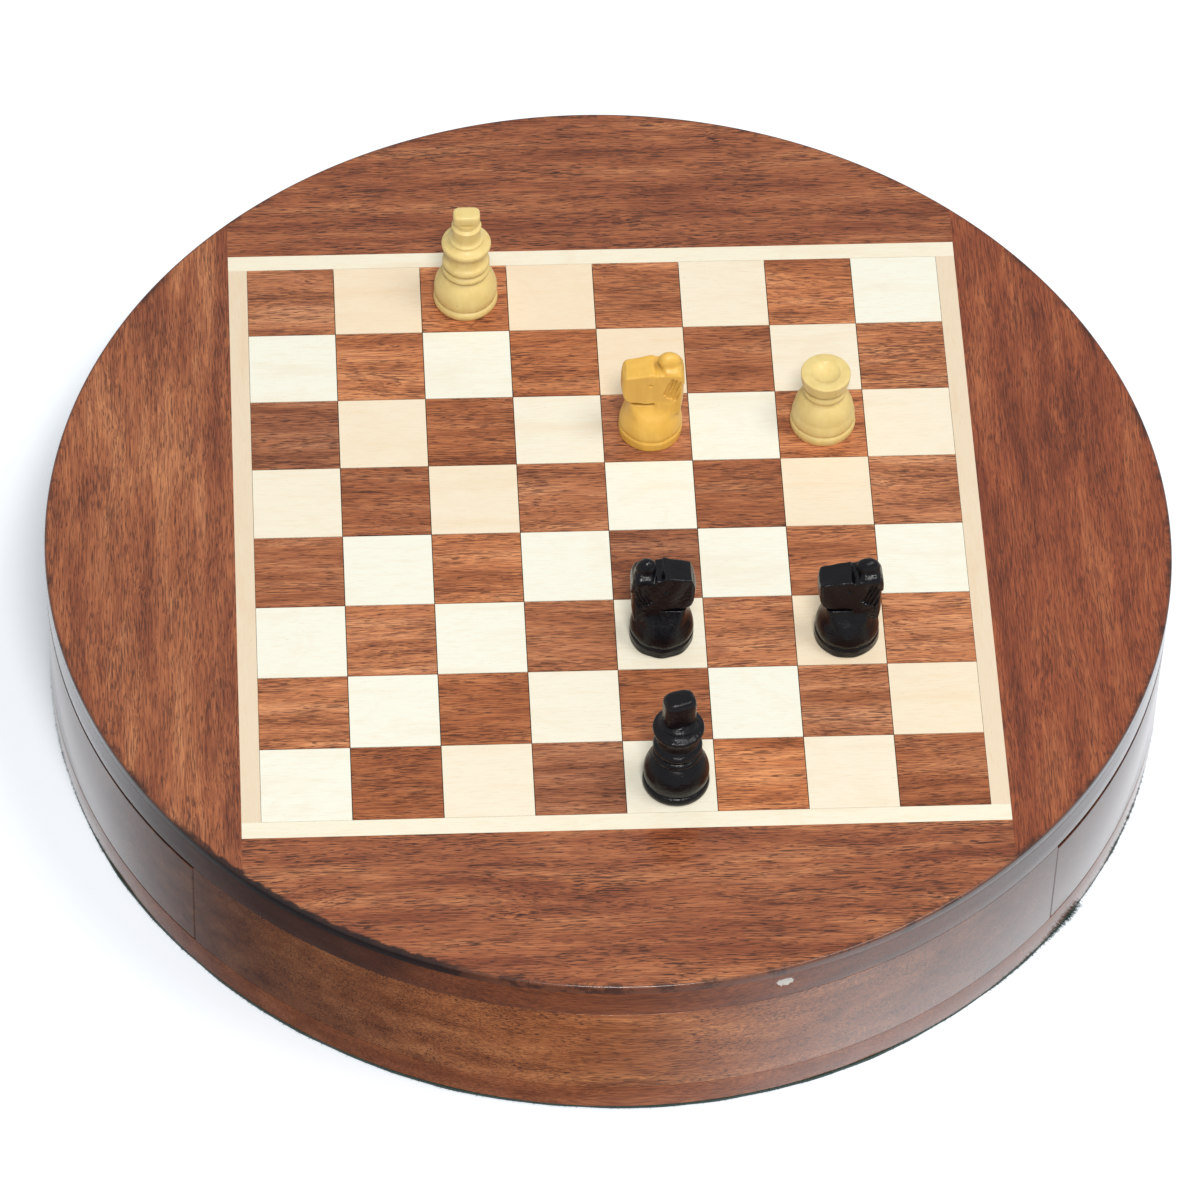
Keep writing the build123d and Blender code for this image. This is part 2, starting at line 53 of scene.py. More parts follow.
# Levels and plan of the case
CASE_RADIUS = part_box("bottom_panel")[1].x
FELT_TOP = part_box("base_felt")[1].z
BOTTOM_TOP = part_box("bottom_panel")[1].z
MIDDLE_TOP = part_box("front_block")[1].z
PANEL_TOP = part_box("top_panel")[1].z
BOARD_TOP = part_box("board_dark_squares")[1].z
FRAME_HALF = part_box("border_strip_front")[1].x
FIELD_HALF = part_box("border_strip_left")[1].y
SQUARE = FIELD_HALF / 4
DRAWER_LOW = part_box("drawer_right_front")[0].z
DRAWER_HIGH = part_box("drawer_right_front")[1].z
DRAWER_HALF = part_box("drawer_right_front")[1].y
RAIL_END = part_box("drawer_right_side_front")[1].x
INSIDE_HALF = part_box("drawer_right_back")[1].y
INSIDE_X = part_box("drawer_right_back")[1].x
INSIDE_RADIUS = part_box("drawer_right_bottom")[1].x
LINING_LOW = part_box("drawer_right_lining")[0].z
LINING_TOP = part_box("drawer_right_lining")[1].z
LINING_GAP = 0.3 * MM

# Edges of the case
ARC_STEPS = 88
DISC_STEPS = 360
FINE_REACH = math.radians(2.0)
FINE_STEPS = 12
ARRIS = 0.45 * MM
SEAM = 0.12 * MM
CRISP = 0.0002 * MM
EDGE_STEPS = 4
FLAT_RING = 0.05 * MM
LEAST_AREA = 1e-13
CHIP_ANGLE = math.radians(-75.4)
CHIP_Z = 28.2 * MM
CHIP_WIDTH = 1.35 * MM
CHIP_HEIGHT = 0.95 * MM
CHIP_DEPTH = 0.3 * MM
CHIP_AT = (CASE_RADIUS * math.cos(CHIP_ANGLE), CASE_RADIUS * math.sin(CHIP_ANGLE), CHIP_Z)


# Meshes


def add_mesh(name, verts, faces, material, sharp=40.0):
    """A new object from vertices and faces, smooth but for its sharp edges."""
    mesh = bpy.data.meshes.new(name)
    mesh.from_pydata([tuple(v) for v in verts], [], [tuple(int(i) for i in f) for f in faces])
    mesh.validate()
    mesh.shade_smooth()
    mesh.set_sharp_from_angle(angle=math.radians(sharp))
    mesh.materials.append(material)
    piece = bpy.data.objects.new(name, mesh)
    SCENE.collection.objects.link(piece)
    return piece


def loft(name, plan, levels, material):
    """A solid of stacked rings: plan(inset) is a ring, and levels are (height, inset) pairs."""
    rings = [[(x, y, z) for x, y in plan(inset)] for z, inset in levels]
    count = len(rings[0])
    verts = [corner for ring in rings for corner in ring]
    faces = [list(range(count))[::-1]]
    for level in range(len(rings) - 1):
        low, high = level * count, (level + 1) * count
        for i in range(count):
            j = (i + 1) % count
            wall = (low + i, low + j, high + j, high + i)
            if has_area([verts[corner] for corner in wall]):
                faces.append(wall)
    faces.append(range((len(rings) - 1) * count, len(rings) * count))
    return add_mesh(name, verts, faces, material)


def has_area(corners):
    """Whether a four-cornered face is more than a line."""
    a, b, c, d = (Vector(corner) for corner in corners)
    return (c - a).cross(d - b).length > LEAST_AREA


def rounded(low, high, low_edge, high_edge, between=()):
    """Levels of a layer whose lower and upper edges are rounded off."""
    turns = [math.pi / 2 * step / EDGE_STEPS for step in range(EDGE_STEPS + 1)]
    levels = [(low, low_edge + FLAT_RING)]
    levels += [(low + low_edge * (1 - math.cos(t)), low_edge * (1 - math.sin(t))) for t in turns]
    levels += [(z, 0.0) for z in between]
    levels += [(high - high_edge * (1 - math.cos(t)), high_edge * (1 - math.sin(t))) for t in turns[::-1]]
    return levels + [(high, high_edge + FLAT_RING)]


def arc(radius, start, end, count=ARC_STEPS, fine_at=None):
    """Points of an arc, closer together near one angle if it is given."""
    angles = [start + (end - start) * i / count for i in range(count + 1)]
    if fine_at is not None:
        extra = [fine_at + FINE_REACH * i / FINE_STEPS for i in range(-FINE_STEPS, FINE_STEPS + 1)]
        rest = [a for a in angles if abs(a - fine_at) > FINE_REACH * 1.05]
        angles = sorted(rest + extra, reverse=end < start)
    return [(radius * math.cos(a), radius * math.sin(a)) for a in angles]


def disc_plan(radius, fine_at=None):
    def plan(inset):
        return arc(radius - inset, -math.pi, math.pi, DISC_STEPS, fine_at)[:-1]
    return plan


def segment_plan(side):
    """A segment of the rim or of the middle layer beyond the straight line x = FRAME_HALF."""
    def plan(inset):
        radius = CASE_RADIUS - inset
        turn = math.acos(FRAME_HALF / radius)
        return spin(arc(radius, -turn, turn), side)
    return plan


def short_segment_plan(side):
    """A segment cut off square at its ends, so that the long ones run past it."""
    def plan(inset):
        radius = CASE_RADIUS - inset
        turn = math.asin(FRAME_HALF / radius)
        corners = [(FRAME_HALF, FRAME_HALF), (FRAME_HALF, -FRAME_HALF)]
        return spin(arc(radius, -turn, turn) + corners, side)
    return plan


def spin(points, quarter_turns):
    turn = math.pi / 2 * quarter_turns
    cos, sin = math.cos(turn), math.sin(turn)
    return [(x * cos - y * sin, x * sin + y * cos) for x, y in points]


def front_plan(side):
    """A drawer's round front with its rabbeted ends."""
    def plan(inset):
        radius = CASE_RADIUS - inset
        outer = math.asin(DRAWER_HALF / radius)
        inner = math.asin(INSIDE_HALF / INSIDE_RADIUS)
        points = arc(radius, -outer, outer)
        points += [(RAIL_END, DRAWER_HALF), (RAIL_END, INSIDE_HALF)]
        points += arc(INSIDE_RADIUS, inner, -inner)[1:-1]
        points += [(RAIL_END, -INSIDE_HALF), (RAIL_END, -DRAWER_HALF)]
        return spin(points, side)
    return plan


def lining_plan(side):
    """The inside of a drawer, drawn in by the lining's gap."""
    def plan(inset):
        radius = INSIDE_RADIUS - LINING_GAP - inset
        half = INSIDE_HALF - LINING_GAP - inset
        back = INSIDE_X + LINING_GAP + inset
        turn = math.asin(half / radius)
        return spin(arc(radius, -turn, turn) + [(back, half), (back, -half)], side)
    return plan


def plan_area(points):
    """Area inside a ring of points."""
    pairs = zip(points, points[1:] + points[:1])
    return abs(sum(x0 * y1 - x1 * y0 for (x0, y0), (x1, y1) in pairs)) / 2


# Shader building


def node(tree, kind, settings=None, **inputs):
    """A shader node with its settings and its inputs, linked or set."""
    made = tree.nodes.new("ShaderNode" + kind)
    for key, value in (settings or {}).items():
        setattr(made, key, value)
    plug_all(tree, made, **inputs)
    return made


def plug_all(tree, made, **inputs):
    """Links or sets a node's inputs by name, with underscores for spaces."""
    for key, value in inputs.items():
        plug(tree, made.inputs[key.replace("_", " ")], value)


def plug(tree, socket, value):
    if isinstance(value, bpy.types.NodeSocket):
        tree.links.new(value, socket)
    else:
        socket.default_value = value


def maths(tree, operation, *values):
    made = tree.nodes.new("ShaderNodeMath")
    made.operation = operation
    for socket, value in zip(made.inputs, values):
        plug(tree, socket, value)
    return made.outputs[0]


def vector_maths(tree, operation, *values):
    made = tree.nodes.new("ShaderNodeVectorMath")
    made.operation = operation
    for socket, value in zip(made.inputs, values):
        plug(tree, socket, value)
    return made.outputs[0]


def length_of(tree, vector):
    made = node(tree, "VectorMath", {"operation": "LENGTH"})
    tree.links.new(vector, made.inputs[0])
    return made.outputs["Value"]


def mix(tree, share, first, second, blend="MIX"):
    """Two colours mixed by a share from 0 to 1."""
    made = tree.nodes.new("ShaderNodeMix")
    made.data_type = "RGBA"
    made.blend_type = blend
    plug(tree, made.inputs[0], share)
    for socket, colour in ((made.inputs[6], first), (made.inputs[7], second)):
        plug(tree, socket, colour if isinstance(colour, bpy.types.NodeSocket) else (*colour, 1))
    return made.outputs[2]


def tint(tree, colour, tone):
    """A colour multiplied by a tone."""
    return mix(tree, 1.0, colour, tone, "MULTIPLY")


def lay(tree, colour, cover, mask, share):
    """A colour covered by another where a mask is 1, as far as a share."""
    return mix(tree, maths(tree, "MULTIPLY", mask, share), colour, cover)


def fade(tree, value, low, high):
    """0 where a value is at low, 1 where it is at high, smooth between."""
    smooth = {"interpolation_type": "SMOOTHSTEP"}
    return node(tree, "MapRange", smooth, Value=value, From_Min=low, From_Max=high).outputs[0]


def noise(tree, place, size, detail=2.0, roughness=0.5, distortion=0.0):
    """Noise whose lumps measure size, one number or (x, y, z), in metres."""
    lengths = size if hasattr(size, "__len__") else (size, size, size)
    scaled = vector_maths(tree, "DIVIDE", place, tuple(lengths))
    made = node(tree, "TexNoise", Vector=scaled, Scale=1.0, Detail=detail, Roughness=roughness,
                Distortion=distortion)
    return made.outputs["Fac"]


def new_material(name):
    """An empty material with its output and a principled shader."""
    material = bpy.data.materials.new(name)
    material.use_nodes = True
    tree = material.node_tree
    tree.nodes.clear()
    shader = node(tree, "BsdfPrincipled")
    output = node(tree, "OutputMaterial")
    tree.links.new(shader.outputs[0], output.inputs["Surface"])
    return material, tree, shader

def new_surface(name):
    """A new material, with each point's place on the piece itself."""
    material, tree, shader = new_material(name)
    return material, tree, shader, node(tree, "TexCoord").outputs["Object"]


def bump(tree, height, depth):
    """A normal from a height of 0 to 1 over a depth in metres."""
    return node(tree, "Bump", Height=height, Distance=depth, Strength=1.0).outputs[0]


# Wood. The two angles are where a hand rubs the lacquer and where a band of painted shade darkens
# the side, in degrees about the case's axis
PORE = (0.04, 0.014, 0.01)
HELD_ANGLE = -112
SHADE_BAND_ANGLE = -123


def along(grain, length, width):
    """Lump size of a length along the grain and a width across it."""
    return tuple(length if axis == grain else width for axis in "XYZ")


def cell_shift(tree, place):
    """A random colour for each board square, and the place shifted so that grain stops at its edge."""
    corner = vector_maths(tree, "ADD", place, (FIELD_HALF, FIELD_HALF, 0.5 * SQUARE))
    cell = vector_maths(tree, "FLOOR", vector_maths(tree, "DIVIDE", corner, (SQUARE, SQUARE, 1.0)))
    chance = node(tree, "TexWhiteNoise", {"noise_dimensions": "3D"}, Vector=cell).outputs["Color"]
    return chance, vector_maths(tree, "MULTIPLY_ADD", chance, (1.0, 1.0, 1.0), place)


def swerve(tree, place, grain):
    """A place moved to and fro across the grain, so that the grain wanders."""
    off = noise(tree, place, along(grain, 30 * MM, 9 * MM))
    across = "Y" if grain == "X" else "X"
    off = node(tree, "CombineXYZ", **{across: off, "Z": off})
    return vector_maths(tree, "MULTIPLY_ADD", off.outputs[0], (3 * MM, 3 * MM, 3 * MM), place)


def wood_colour(tree, place, grain, tones, fibre, pores, lines):
    """The figure, streaks and stains of open-grained wood, and where its short pores are."""
    figure = noise(tree, place, along(grain, 34 * MM, 3.6 * MM), 4.0, 0.62)
    colour = mix(tree, fade(tree, figure, 0.34, 0.5), tones[0], tones[1])
    colour = mix(tree, fade(tree, figure, 0.5, 0.66), colour, tones[2])
    lit = tint(tree, colour, (1.32, 1.37, 1.3))
    shaded = tint(tree, colour, (0.7, 0.64, 0.7))
    colour = mix(tree, fade(tree, fibre, 0.3, 0.7), shaded, lit)
    crowd = fade(tree, noise(tree, place, along(grain, 16 * MM, 3 * MM), 2.0), 0.35, 0.65)
    small = noise(tree, place, along(grain, 2.3 * MM, 0.15 * MM), 1.0)
    small = fade(tree, maths(tree, "MULTIPLY_ADD", crowd, 0.09, small), 0.62, 0.7)
    colour = lay(tree, colour, mix(tree, 0.8, shaded, PORE), small, pores)
    long = noise(tree, place, along(grain, 13 * MM, 0.28 * MM), 2.0, 0.6)
    long = fade(tree, maths(tree, "MULTIPLY_ADD", crowd, 0.07, long), 0.66, 0.73)
    colour = lay(tree, colour, PORE, long, lines)
    stains = fade(tree, noise(tree, place, along(grain, 12 * MM, 5 * MM), 4.0, 0.65), 0.62, 0.76)
    return lay(tree, colour, PORE, stains, 0.45), small


def square_tone(tree, colour, chance):
    """Makes some squares darker and some more orange."""
    lot = node(tree, "SeparateColor", Color=chance)
    darker = tint(tree, colour, (0.66, 0.6, 0.6))
    colour = mix(tree, fade(tree, lot.outputs["Green"], 0.35, 1.0), colour, darker)
    return mix(tree, lot.outputs["Blue"], colour, tint(tree, colour, (1.12, 0.98, 0.78)))


def wood(name, tones, grain="X", pores=0.8, lines=0.6, cells=False, side_tone=None, chip=False,
         haze=None, ends=0.9):
    """Open-grained red-brown wood under satin lacquer, from dark, middle and light tones.

    haze is the index of refraction of the milky lacquer that the round side has, and ends is how far painted
    shade darkens that side to the left and right.
    """
    material, tree, shader, rest = new_surface(name)
    place = rest
    if cells:
        chance, place = cell_shift(tree, rest)
    place = swerve(tree, place, grain)
    fibre = noise(tree, place, along(grain, 5 * MM, 0.2 * MM), 2.0, 0.6)
    colour, small = wood_colour(tree, place, grain, tones, fibre, pores, lines)
    if cells:
        colour = square_tone(tree, colour, chance)
    if side_tone:
        colour = stain_sides(tree, rest, colour, side_tone)
    # Painted shade darkens the round side to the left and right.
    if haze:
        colour = painted_side_shade(tree, rest, colour, ends, bool(side_tone))
    # A band of painted shade under the top, around one angle of the side.
    if side_tone or chip:
        colour = painted_shade_band(tree, rest, colour, bool(side_tone))
    if chip:
        colour = bare_chip(tree, rest, colour)
    height = maths(tree, "MULTIPLY_ADD", small, -1.0, maths(tree, "MULTIPLY", fibre, 0.5))
    plug_all(tree, shader, Base_Color=colour, Roughness=maths(tree, "MULTIPLY_ADD", fibre, 0.2, 0.34),
             Coat_Weight=handled_lacquer(tree, rest) if haze else 0.6, Coat_IOR=haze or 1.28,
             IOR=1.12 if haze else 1.25, Coat_Roughness=0.16, Normal=bump(tree, height, 0.035 * MM))
    return material


def upright_share(tree):
    """1 on an upright face and 0 on a level one."""
    facing = node(tree, "SeparateXYZ", Vector=node(tree, "NewGeometry").outputs["True Normal"])
    return fade(tree, maths(tree, "ABSOLUTE", facing.outputs["Z"]), 0.8, 0.3)


def levelled(tree, place):
    """A place with no height."""
    return vector_maths(tree, "MULTIPLY", place, (1.0, 1.0, 0.0))


def outward(tree, place):
    """The direction of a point from the case's axis."""
    way = vector_maths(tree, "NORMALIZE", levelled(tree, place))
    return node(tree, "SeparateXYZ", Vector=way).outputs


def painted_side_shade(tree, place, colour, ends, upright_only):
    """Painted shade: the round side goes dark to the left and right, where the light from the front falls off.
    """
    reach = maths(tree, "ABSOLUTE", outward(tree, place)["X"])
    share = maths(tree, "MULTIPLY", fade(tree, reach, 0.05, 0.85), ends)
    if upright_only:
        share = maths(tree, "MULTIPLY", share, upright_share(tree))
    return mix(tree, share, colour, tint(tree, colour, (0.04, 0.03, 0.08)))


def held_share(tree, place, middle, far, near):
    """1 on the side within near degrees of a middle angle, and 0 beyond far degrees."""
    way = outward(tree, place)
    turn = math.radians(middle)
    across = maths(tree, "MULTIPLY", way["X"], math.cos(turn))
    nearness = maths(tree, "MULTIPLY_ADD", way["Y"], math.sin(turn), across)
    return fade(tree, nearness, math.cos(math.radians(far)), math.cos(math.radians(near)))


def handled_lacquer(tree, place):
    """How much lacquer there is, less on the level top and rubbed off where a hand holds the box."""
    left = maths(tree, "MULTIPLY_ADD", held_share(tree, place, HELD_ANGLE, 46, 14), -1.0, 1.0)
    upright = upright_share(tree)
    level = maths(tree, "MULTIPLY_ADD", upright, -0.35, 0.35)
    return maths(tree, "MULTIPLY_ADD", upright, left, level)


def painted_shade_band(tree, place, colour, has_edge):
    """Painted shade: darkens the band under the top, and its edge, around one angle of the side."""
    band = maths(tree, "MULTIPLY", held_share(tree, place, SHADE_BAND_ANGLE, 14, 0), upright_share(tree))
    colour = lay(tree, colour, (0.018, 0.006, 0.005), band, 0.6)
    if not has_edge:
        return colour
    radius = length_of(tree, levelled(tree, place))
    ragged = maths(tree, "MULTIPLY_ADD", noise(tree, place, 1.6 * MM, 3.0), 1.6 * MM, radius)
    line = fade(tree, ragged, CASE_RADIUS - 0.35 * MM, CASE_RADIUS + 0.15 * MM)
    line = maths(tree, "MULTIPLY", line, held_share(tree, place, SHADE_BAND_ANGLE, 20, 11))
    return lay(tree, colour, (0.008, 0.005, 0.006), line, 0.9)


def stain_sides(tree, place, colour, side_tone):
    """The stain that lies darker on the case's upright side and on its worn arris."""
    colour = lay(tree, colour, side_tone, upright_share(tree), 0.75)
    radius = length_of(tree, levelled(tree, place))
    arris = fade(tree, radius, CASE_RADIUS - 0.6 * MM, CASE_RADIUS - 0.25 * MM)
    colour = lay(tree, colour, side_tone, arris, 0.75)
    near_edge = fade(tree, radius, CASE_RADIUS - 1.6 * MM, CASE_RADIUS - 0.3 * MM)
    patches = fade(tree, noise(tree, place, 5 * MM, 5.0, 0.7), 0.5, 0.6)
    dirt = maths(tree, "MULTIPLY", near_edge, patches)
    return lay(tree, colour, (0.028, 0.012, 0.01), dirt, 0.7)


def bare_chip(tree, place, colour):
    """A pale fleck where the finish has come off the side of the top panel."""
    off = vector_maths(tree, "SUBTRACT", place, CHIP_AT)
    off = vector_maths(tree, "DIVIDE", off, (CHIP_WIDTH, CHIP_WIDTH, CHIP_HEIGHT))
    reach = maths(tree, "MULTIPLY_ADD", noise(tree, place, 0.7 * MM, 2.0), 0.9, length_of(tree, off))
    return mix(tree, fade(tree, reach, 1.42, 1.3), colour, (0.62, 0.58, 0.53))


def pale_wood(name, light, tan, grain="X", cells=False):
    """Fine pale wood under satin lacquer, with a tone of its own for each square."""
    material, tree, shader, place = new_surface(name)
    share = 0.35
    if cells:
        chance, place = cell_shift(tree, place)
        share = fade(tree, node(tree, "SeparateColor", Color=chance).outputs["Green"], 0.3, 0.95)
    figure = noise(tree, place, along(grain, 26 * MM, 3.2 * MM), 3.0, 0.6)
    fibre = noise(tree, place, along(grain, 3 * MM, 0.2 * MM), 2.0, 0.6)
    curl = noise(tree, place, 9 * MM, 3.0, 0.55, 1.5)
    colour = mix(tree, share, light, tan)
    deeper = tint(tree, colour, (0.95, 0.87, 0.78))
    colour = lay(tree, colour, deeper, fade(tree, figure, 0.5, 0.75), 0.6)
    colour = lay(tree, colour, deeper, fade(tree, curl, 0.52, 0.72), 0.3)
    colour = lay(tree, colour, deeper, fade(tree, fibre, 0.45, 0.75), 0.6)
    flecks = fade(tree, noise(tree, place, along(grain, 1.3 * MM, 0.16 * MM), 1.0), 0.71, 0.78)
    colour = lay(tree, colour, (0.6, 0.4, 0.24), flecks, 0.3)
    plug_all(tree, shader, Base_Color=colour, Roughness=maths(tree, "MULTIPLY_ADD", fibre, 0.12, 0.38),
             Coat_Weight=0.25, Coat_Roughness=0.25, Normal=bump(tree, fibre, 0.012 * MM))
    return material


def plain_wood(name, light, dark, grain):
    """Sanded wood inside the drawers, with no lacquer."""
    material, tree, shader, place = new_surface(name)
    figure = noise(tree, place, along(grain, 40 * MM, 2.6 * MM), 3.0, 0.6, 0.4)
    fibre = noise(tree, place, along(grain, 6 * MM, 0.25 * MM), 2.0, 0.7)
    colour = mix(tree, fade(tree, figure, 0.35, 0.65), light, dark)
    colour = lay(tree, colour, dark, fade(tree, fibre, 0.5, 0.75), 0.4)
    plug_all(tree, shader, Base_Color=colour, Roughness=maths(tree, "MULTIPLY_ADD", fibre, 0.2, 0.55),
             Normal=bump(tree, fibre, 0.05 * MM))
    return material


def felt(name, dark, light):
    """Short matted fibres."""
    material, tree, shader, place = new_surface(name)
    mat = noise(tree, place, 0.35 * MM, 3.0, 0.75, 1.2)
    clumps = noise(tree, place, 3.5 * MM, 3.0, 0.6)
    colour = mix(tree, fade(tree, mat, 0.3, 0.75), dark, light)
    colour = mix(tree, fade(tree, clumps, 0.45, 0.75), colour, mix(tree, 0.5, colour, dark))
    plug_all(tree, shader, Base_Color=colour, Roughness=0.95, Specular_IOR_Level=0.2, Sheen_Weight=0.35,
             Sheen_Roughness=0.5, Normal=bump(tree, mat, 0.18 * MM))
    return material


def bare_metal(name, tone, size, roughness):
    """Plated or rolled metal with fine scratches and a few dull spots."""
    material, tree, shader, place = new_surface(name)
    scratches = noise(tree, place, size, 3.0, 0.7)
    spots = fade(tree, noise(tree, place, 2 * MM, 4.0, 0.7), 0.55, 0.75)
    dull = tuple(channel * 0.62 for channel in tone)
    plug_all(tree, shader, Base_Color=mix(tree, spots, tone, dull), Metallic=1.0,
             Roughness=maths(tree, "MULTIPLY_ADD", scratches, 0.25, roughness),
             Normal=bump(tree, scratches, 0.01 * MM))
    return material


def box_wood(name, light, deep):
    """Pale yellow turned wood, clear lacquered, deeper in the grooves, partly from lacquer gathered there and
    partly as painted shade.
    """
    material, tree, shader, place = new_surface(name)
    figure = noise(tree, place, along("Z", 14 * MM, 1.6 * MM), 3.0, 0.6)
    rings = noise(tree, place, (4 * MM, 4 * MM, 0.16 * MM), 2.0, 0.6)
    # Ambient occlusion darkens the grooves: the lacquer gathered there, and painted shade.
    hollows = node(tree, "AmbientOcclusion", {"samples": 8, "only_local": True}, Distance=1.6 * MM)
    pooled_and_shaded = fade(tree, hollows.outputs["AO"], 0.95, 0.35)
    colour = lay(tree, light, deep, fade(tree, figure, 0.38, 0.68), 0.5)
    colour = lay(tree, colour, tuple(c * 0.62 for c in deep), pooled_and_shaded, 0.75)
    specks = fade(tree, noise(tree, place, (0.5 * MM, 0.5 * MM, 0.8 * MM), 1.0), 0.76, 0.82)
    colour = lay(tree, colour, (0.32, 0.16, 0.05), specks, 0.35)
    plug_all(tree, shader, Base_Color=colour, Roughness=maths(tree, "MULTIPLY_ADD", rings, 0.14, 0.42),
             Subsurface_Weight=0.08, Subsurface_Radius=(1.6 * MM, 0.9 * MM, 0.35 * MM),
             Coat_Weight=0.12, Coat_Roughness=0.16, Normal=bump(tree, rings, 0.02 * MM))
    return material


def black_stain(name):
    """Black lacquer over stain, brushed on thick and rubbed through to red-brown wood in places."""
    material, tree, shader, place = new_surface(name)
    brush = noise(tree, place, (0.7 * MM, 0.7 * MM, 0.45 * MM), 3.0, 0.6)
    wear = noise(tree, place, (2.6 * MM, 2.6 * MM, 3.4 * MM), 4.0, 0.65)
    edges = fade(tree, node(tree, "NewGeometry").outputs["Pointiness"], 0.505, 0.56)
    thin = maths(tree, "MULTIPLY", fade(tree, wear, 0.5, 0.72), 0.6)
    worn = maths(tree, "MULTIPLY", edges, fade(tree, wear, 0.42, 0.6))
    # The black is the lacquer's own; its faint blue is painted, standing for a cool reflection from above.
    colour = mix(tree, thin, (0.003, 0.0028, 0.0042), (0.0065, 0.0036, 0.0047))
    colour = lay(tree, colour, (0.04, 0.018, 0.016), worn, 0.14)
    plug_all(tree, shader, Base_Color=colour, Roughness=maths(tree, "MULTIPLY_ADD", wear, 0.22, 0.1),
             IOR=1.31, Normal=bump(tree, brush, 0.11 * MM))
    return material


# Materials of the set
BROWN = ((0.335, 0.12, 0.055), (0.49, 0.194, 0.092), (0.62, 0.283, 0.147))
RIM_BROWN = ((0.233, 0.066, 0.028), (0.338, 0.108, 0.045), (0.456, 0.172, 0.075))
RED_BROWN = ((0.19, 0.046, 0.019), (0.275, 0.07, 0.028), (0.35, 0.104, 0.042))
SIDE_BROWN = ((0.155, 0.046, 0.02), (0.21, 0.061, 0.025), (0.265, 0.083, 0.035))
LOW_BROWN = ((0.215, 0.066, 0.029), (0.283, 0.091, 0.039), (0.35, 0.122, 0.055))
CORE_BROWN = ((0.25, 0.077, 0.028), (0.355, 0.12, 0.045), (0.47, 0.178, 0.068))
SIDE_STAIN = (0.15, 0.052, 0.028)

DARK_SQUARES = wood("dark_squares_wood", BROWN, cells=True)
LIGHT_SQUARES = pale_wood("light_squares_wood", (0.95, 0.94, 0.81), (0.94, 0.79, 0.58), cells=True)
BORDER_ACROSS = pale_wood("border_across_wood", (0.96, 0.92, 0.76), (0.93, 0.82, 0.62))
BORDER_ALONG = pale_wood("border_along_wood", (0.88, 0.75, 0.57), (0.82, 0.65, 0.46), grain="Y")
RIM_ACROSS = wood("rim_across_wood", RIM_BROWN, pores=0.95, lines=0.85, side_tone=SIDE_STAIN, haze=1.75)
RIM_LEFT = wood("rim_left_wood", RIM_BROWN, "Y", pores=0.7, lines=0.3, side_tone=SIDE_STAIN, haze=1.75)
RIM_RIGHT = wood("rim_right_wood", RED_BROWN, "Y", pores=0.6, lines=0.5, side_tone=SIDE_STAIN, haze=1.75)
TOP_PANEL = wood("top_panel_wood", SIDE_BROWN, pores=0.3, lines=0.2, chip=True, haze=1.65)
LOW_PANEL = wood("low_panel_wood", LOW_BROWN, pores=0.3, lines=0.2, haze=1.9, ends=0.4)
BLOCKS = wood("block_wood", CORE_BROWN, pores=0.9, lines=0.55, haze=2.0, ends=0.8)
DRAWER_SIDES = plain_wood("drawer_side_wood", (0.56, 0.36, 0.2), (0.36, 0.2, 0.1), "X")
DRAWER_BACKS = plain_wood("drawer_back_wood", (0.56, 0.36, 0.2), (0.36, 0.2, 0.1), "Y")
BASE_FELT = felt("base_felt_cloth", (0.004, 0.022, 0.016), (0.014, 0.062, 0.044))
LINING_FELT = felt("lining_felt_cloth", (0.008, 0.05, 0.026), (0.03, 0.13, 0.065))
STEEL = bare_metal("steel_sheet_metal", (0.5, 0.5, 0.5), (20 * MM, 0.2 * MM, 1 * MM), 0.3)
NICKEL = bare_metal("magnet_nickel", (0.66, 0.64, 0.6), 0.3 * MM, 0.18)
WHITE_WOOD = box_wood("white_piece_wood", (0.86, 0.67, 0.27), (0.76, 0.56, 0.19))
KNIGHT_WOOD = box_wood("white_knight_wood", (0.9, 0.53, 0.095), (0.79, 0.43, 0.062))
BLACK_WOOD = black_stain("black_piece_wood")


# Case


def dent_chip(piece):
    """Presses the chip into the side of the top panel."""
    for vert in piece.data.vertices:
        off = vert.co - Vector(CHIP_AT)
        reach = math.hypot(math.hypot(off.x, off.y) / CHIP_WIDTH, off.z / CHIP_HEIGHT)
        if reach < 1:
            radius = math.hypot(vert.co.x, vert.co.y)
            vert.co.xy *= 1 - CHIP_DEPTH * min(1.0, 2 * (1 - reach)) / radius


def make_case():
    chip_rows = [CHIP_Z + CHIP_HEIGHT * step / 4 for step in range(-5, 6)]
    layers = [
        ("bottom_panel", FELT_TOP, BOTTOM_TOP, None, (), LOW_PANEL),
        ("top_panel", MIDDLE_TOP, PANEL_TOP, CHIP_ANGLE, chip_rows, TOP_PANEL),
    ]
    for name, low, high, fine_at, rows, material in layers:
        levels = rounded(low, high, SEAM, CRISP, rows)
        piece = loft(name + "_wood", disc_plan(CASE_RADIUS, fine_at), levels, material)
        seat(piece, "case", "panel_wood", name)
        if rows:
            dent_chip(piece)
    for name, side in (("front", -1), ("rear", 1)):
        levels = rounded(BOTTOM_TOP, MIDDLE_TOP, SEAM, SEAM)
        block = loft(name + "_block_wood", segment_plan(side), levels, BLOCKS)
        seat(block, "case", "block_wood", name + "_block")
        make_rim(name, short_segment_plan(side), RIM_ACROSS)
    make_rim("left", segment_plan(2), RIM_LEFT)
    make_rim("right", segment_plan(0), RIM_RIGHT)


def make_rim(name, plan, material):
    rim = loft("rim_" + name + "_wood", plan, rounded(PANEL_TOP, BOARD_TOP, CRISP, ARRIS), material)
    seat(rim, "case", "rim_wood", "rim_segment_" + name)


def seat(piece, body, slot, *nodes):
    """Sets a new piece on its body in place of CAD nodes."""
    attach(piece, body)
    if nodes:
        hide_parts(*nodes)


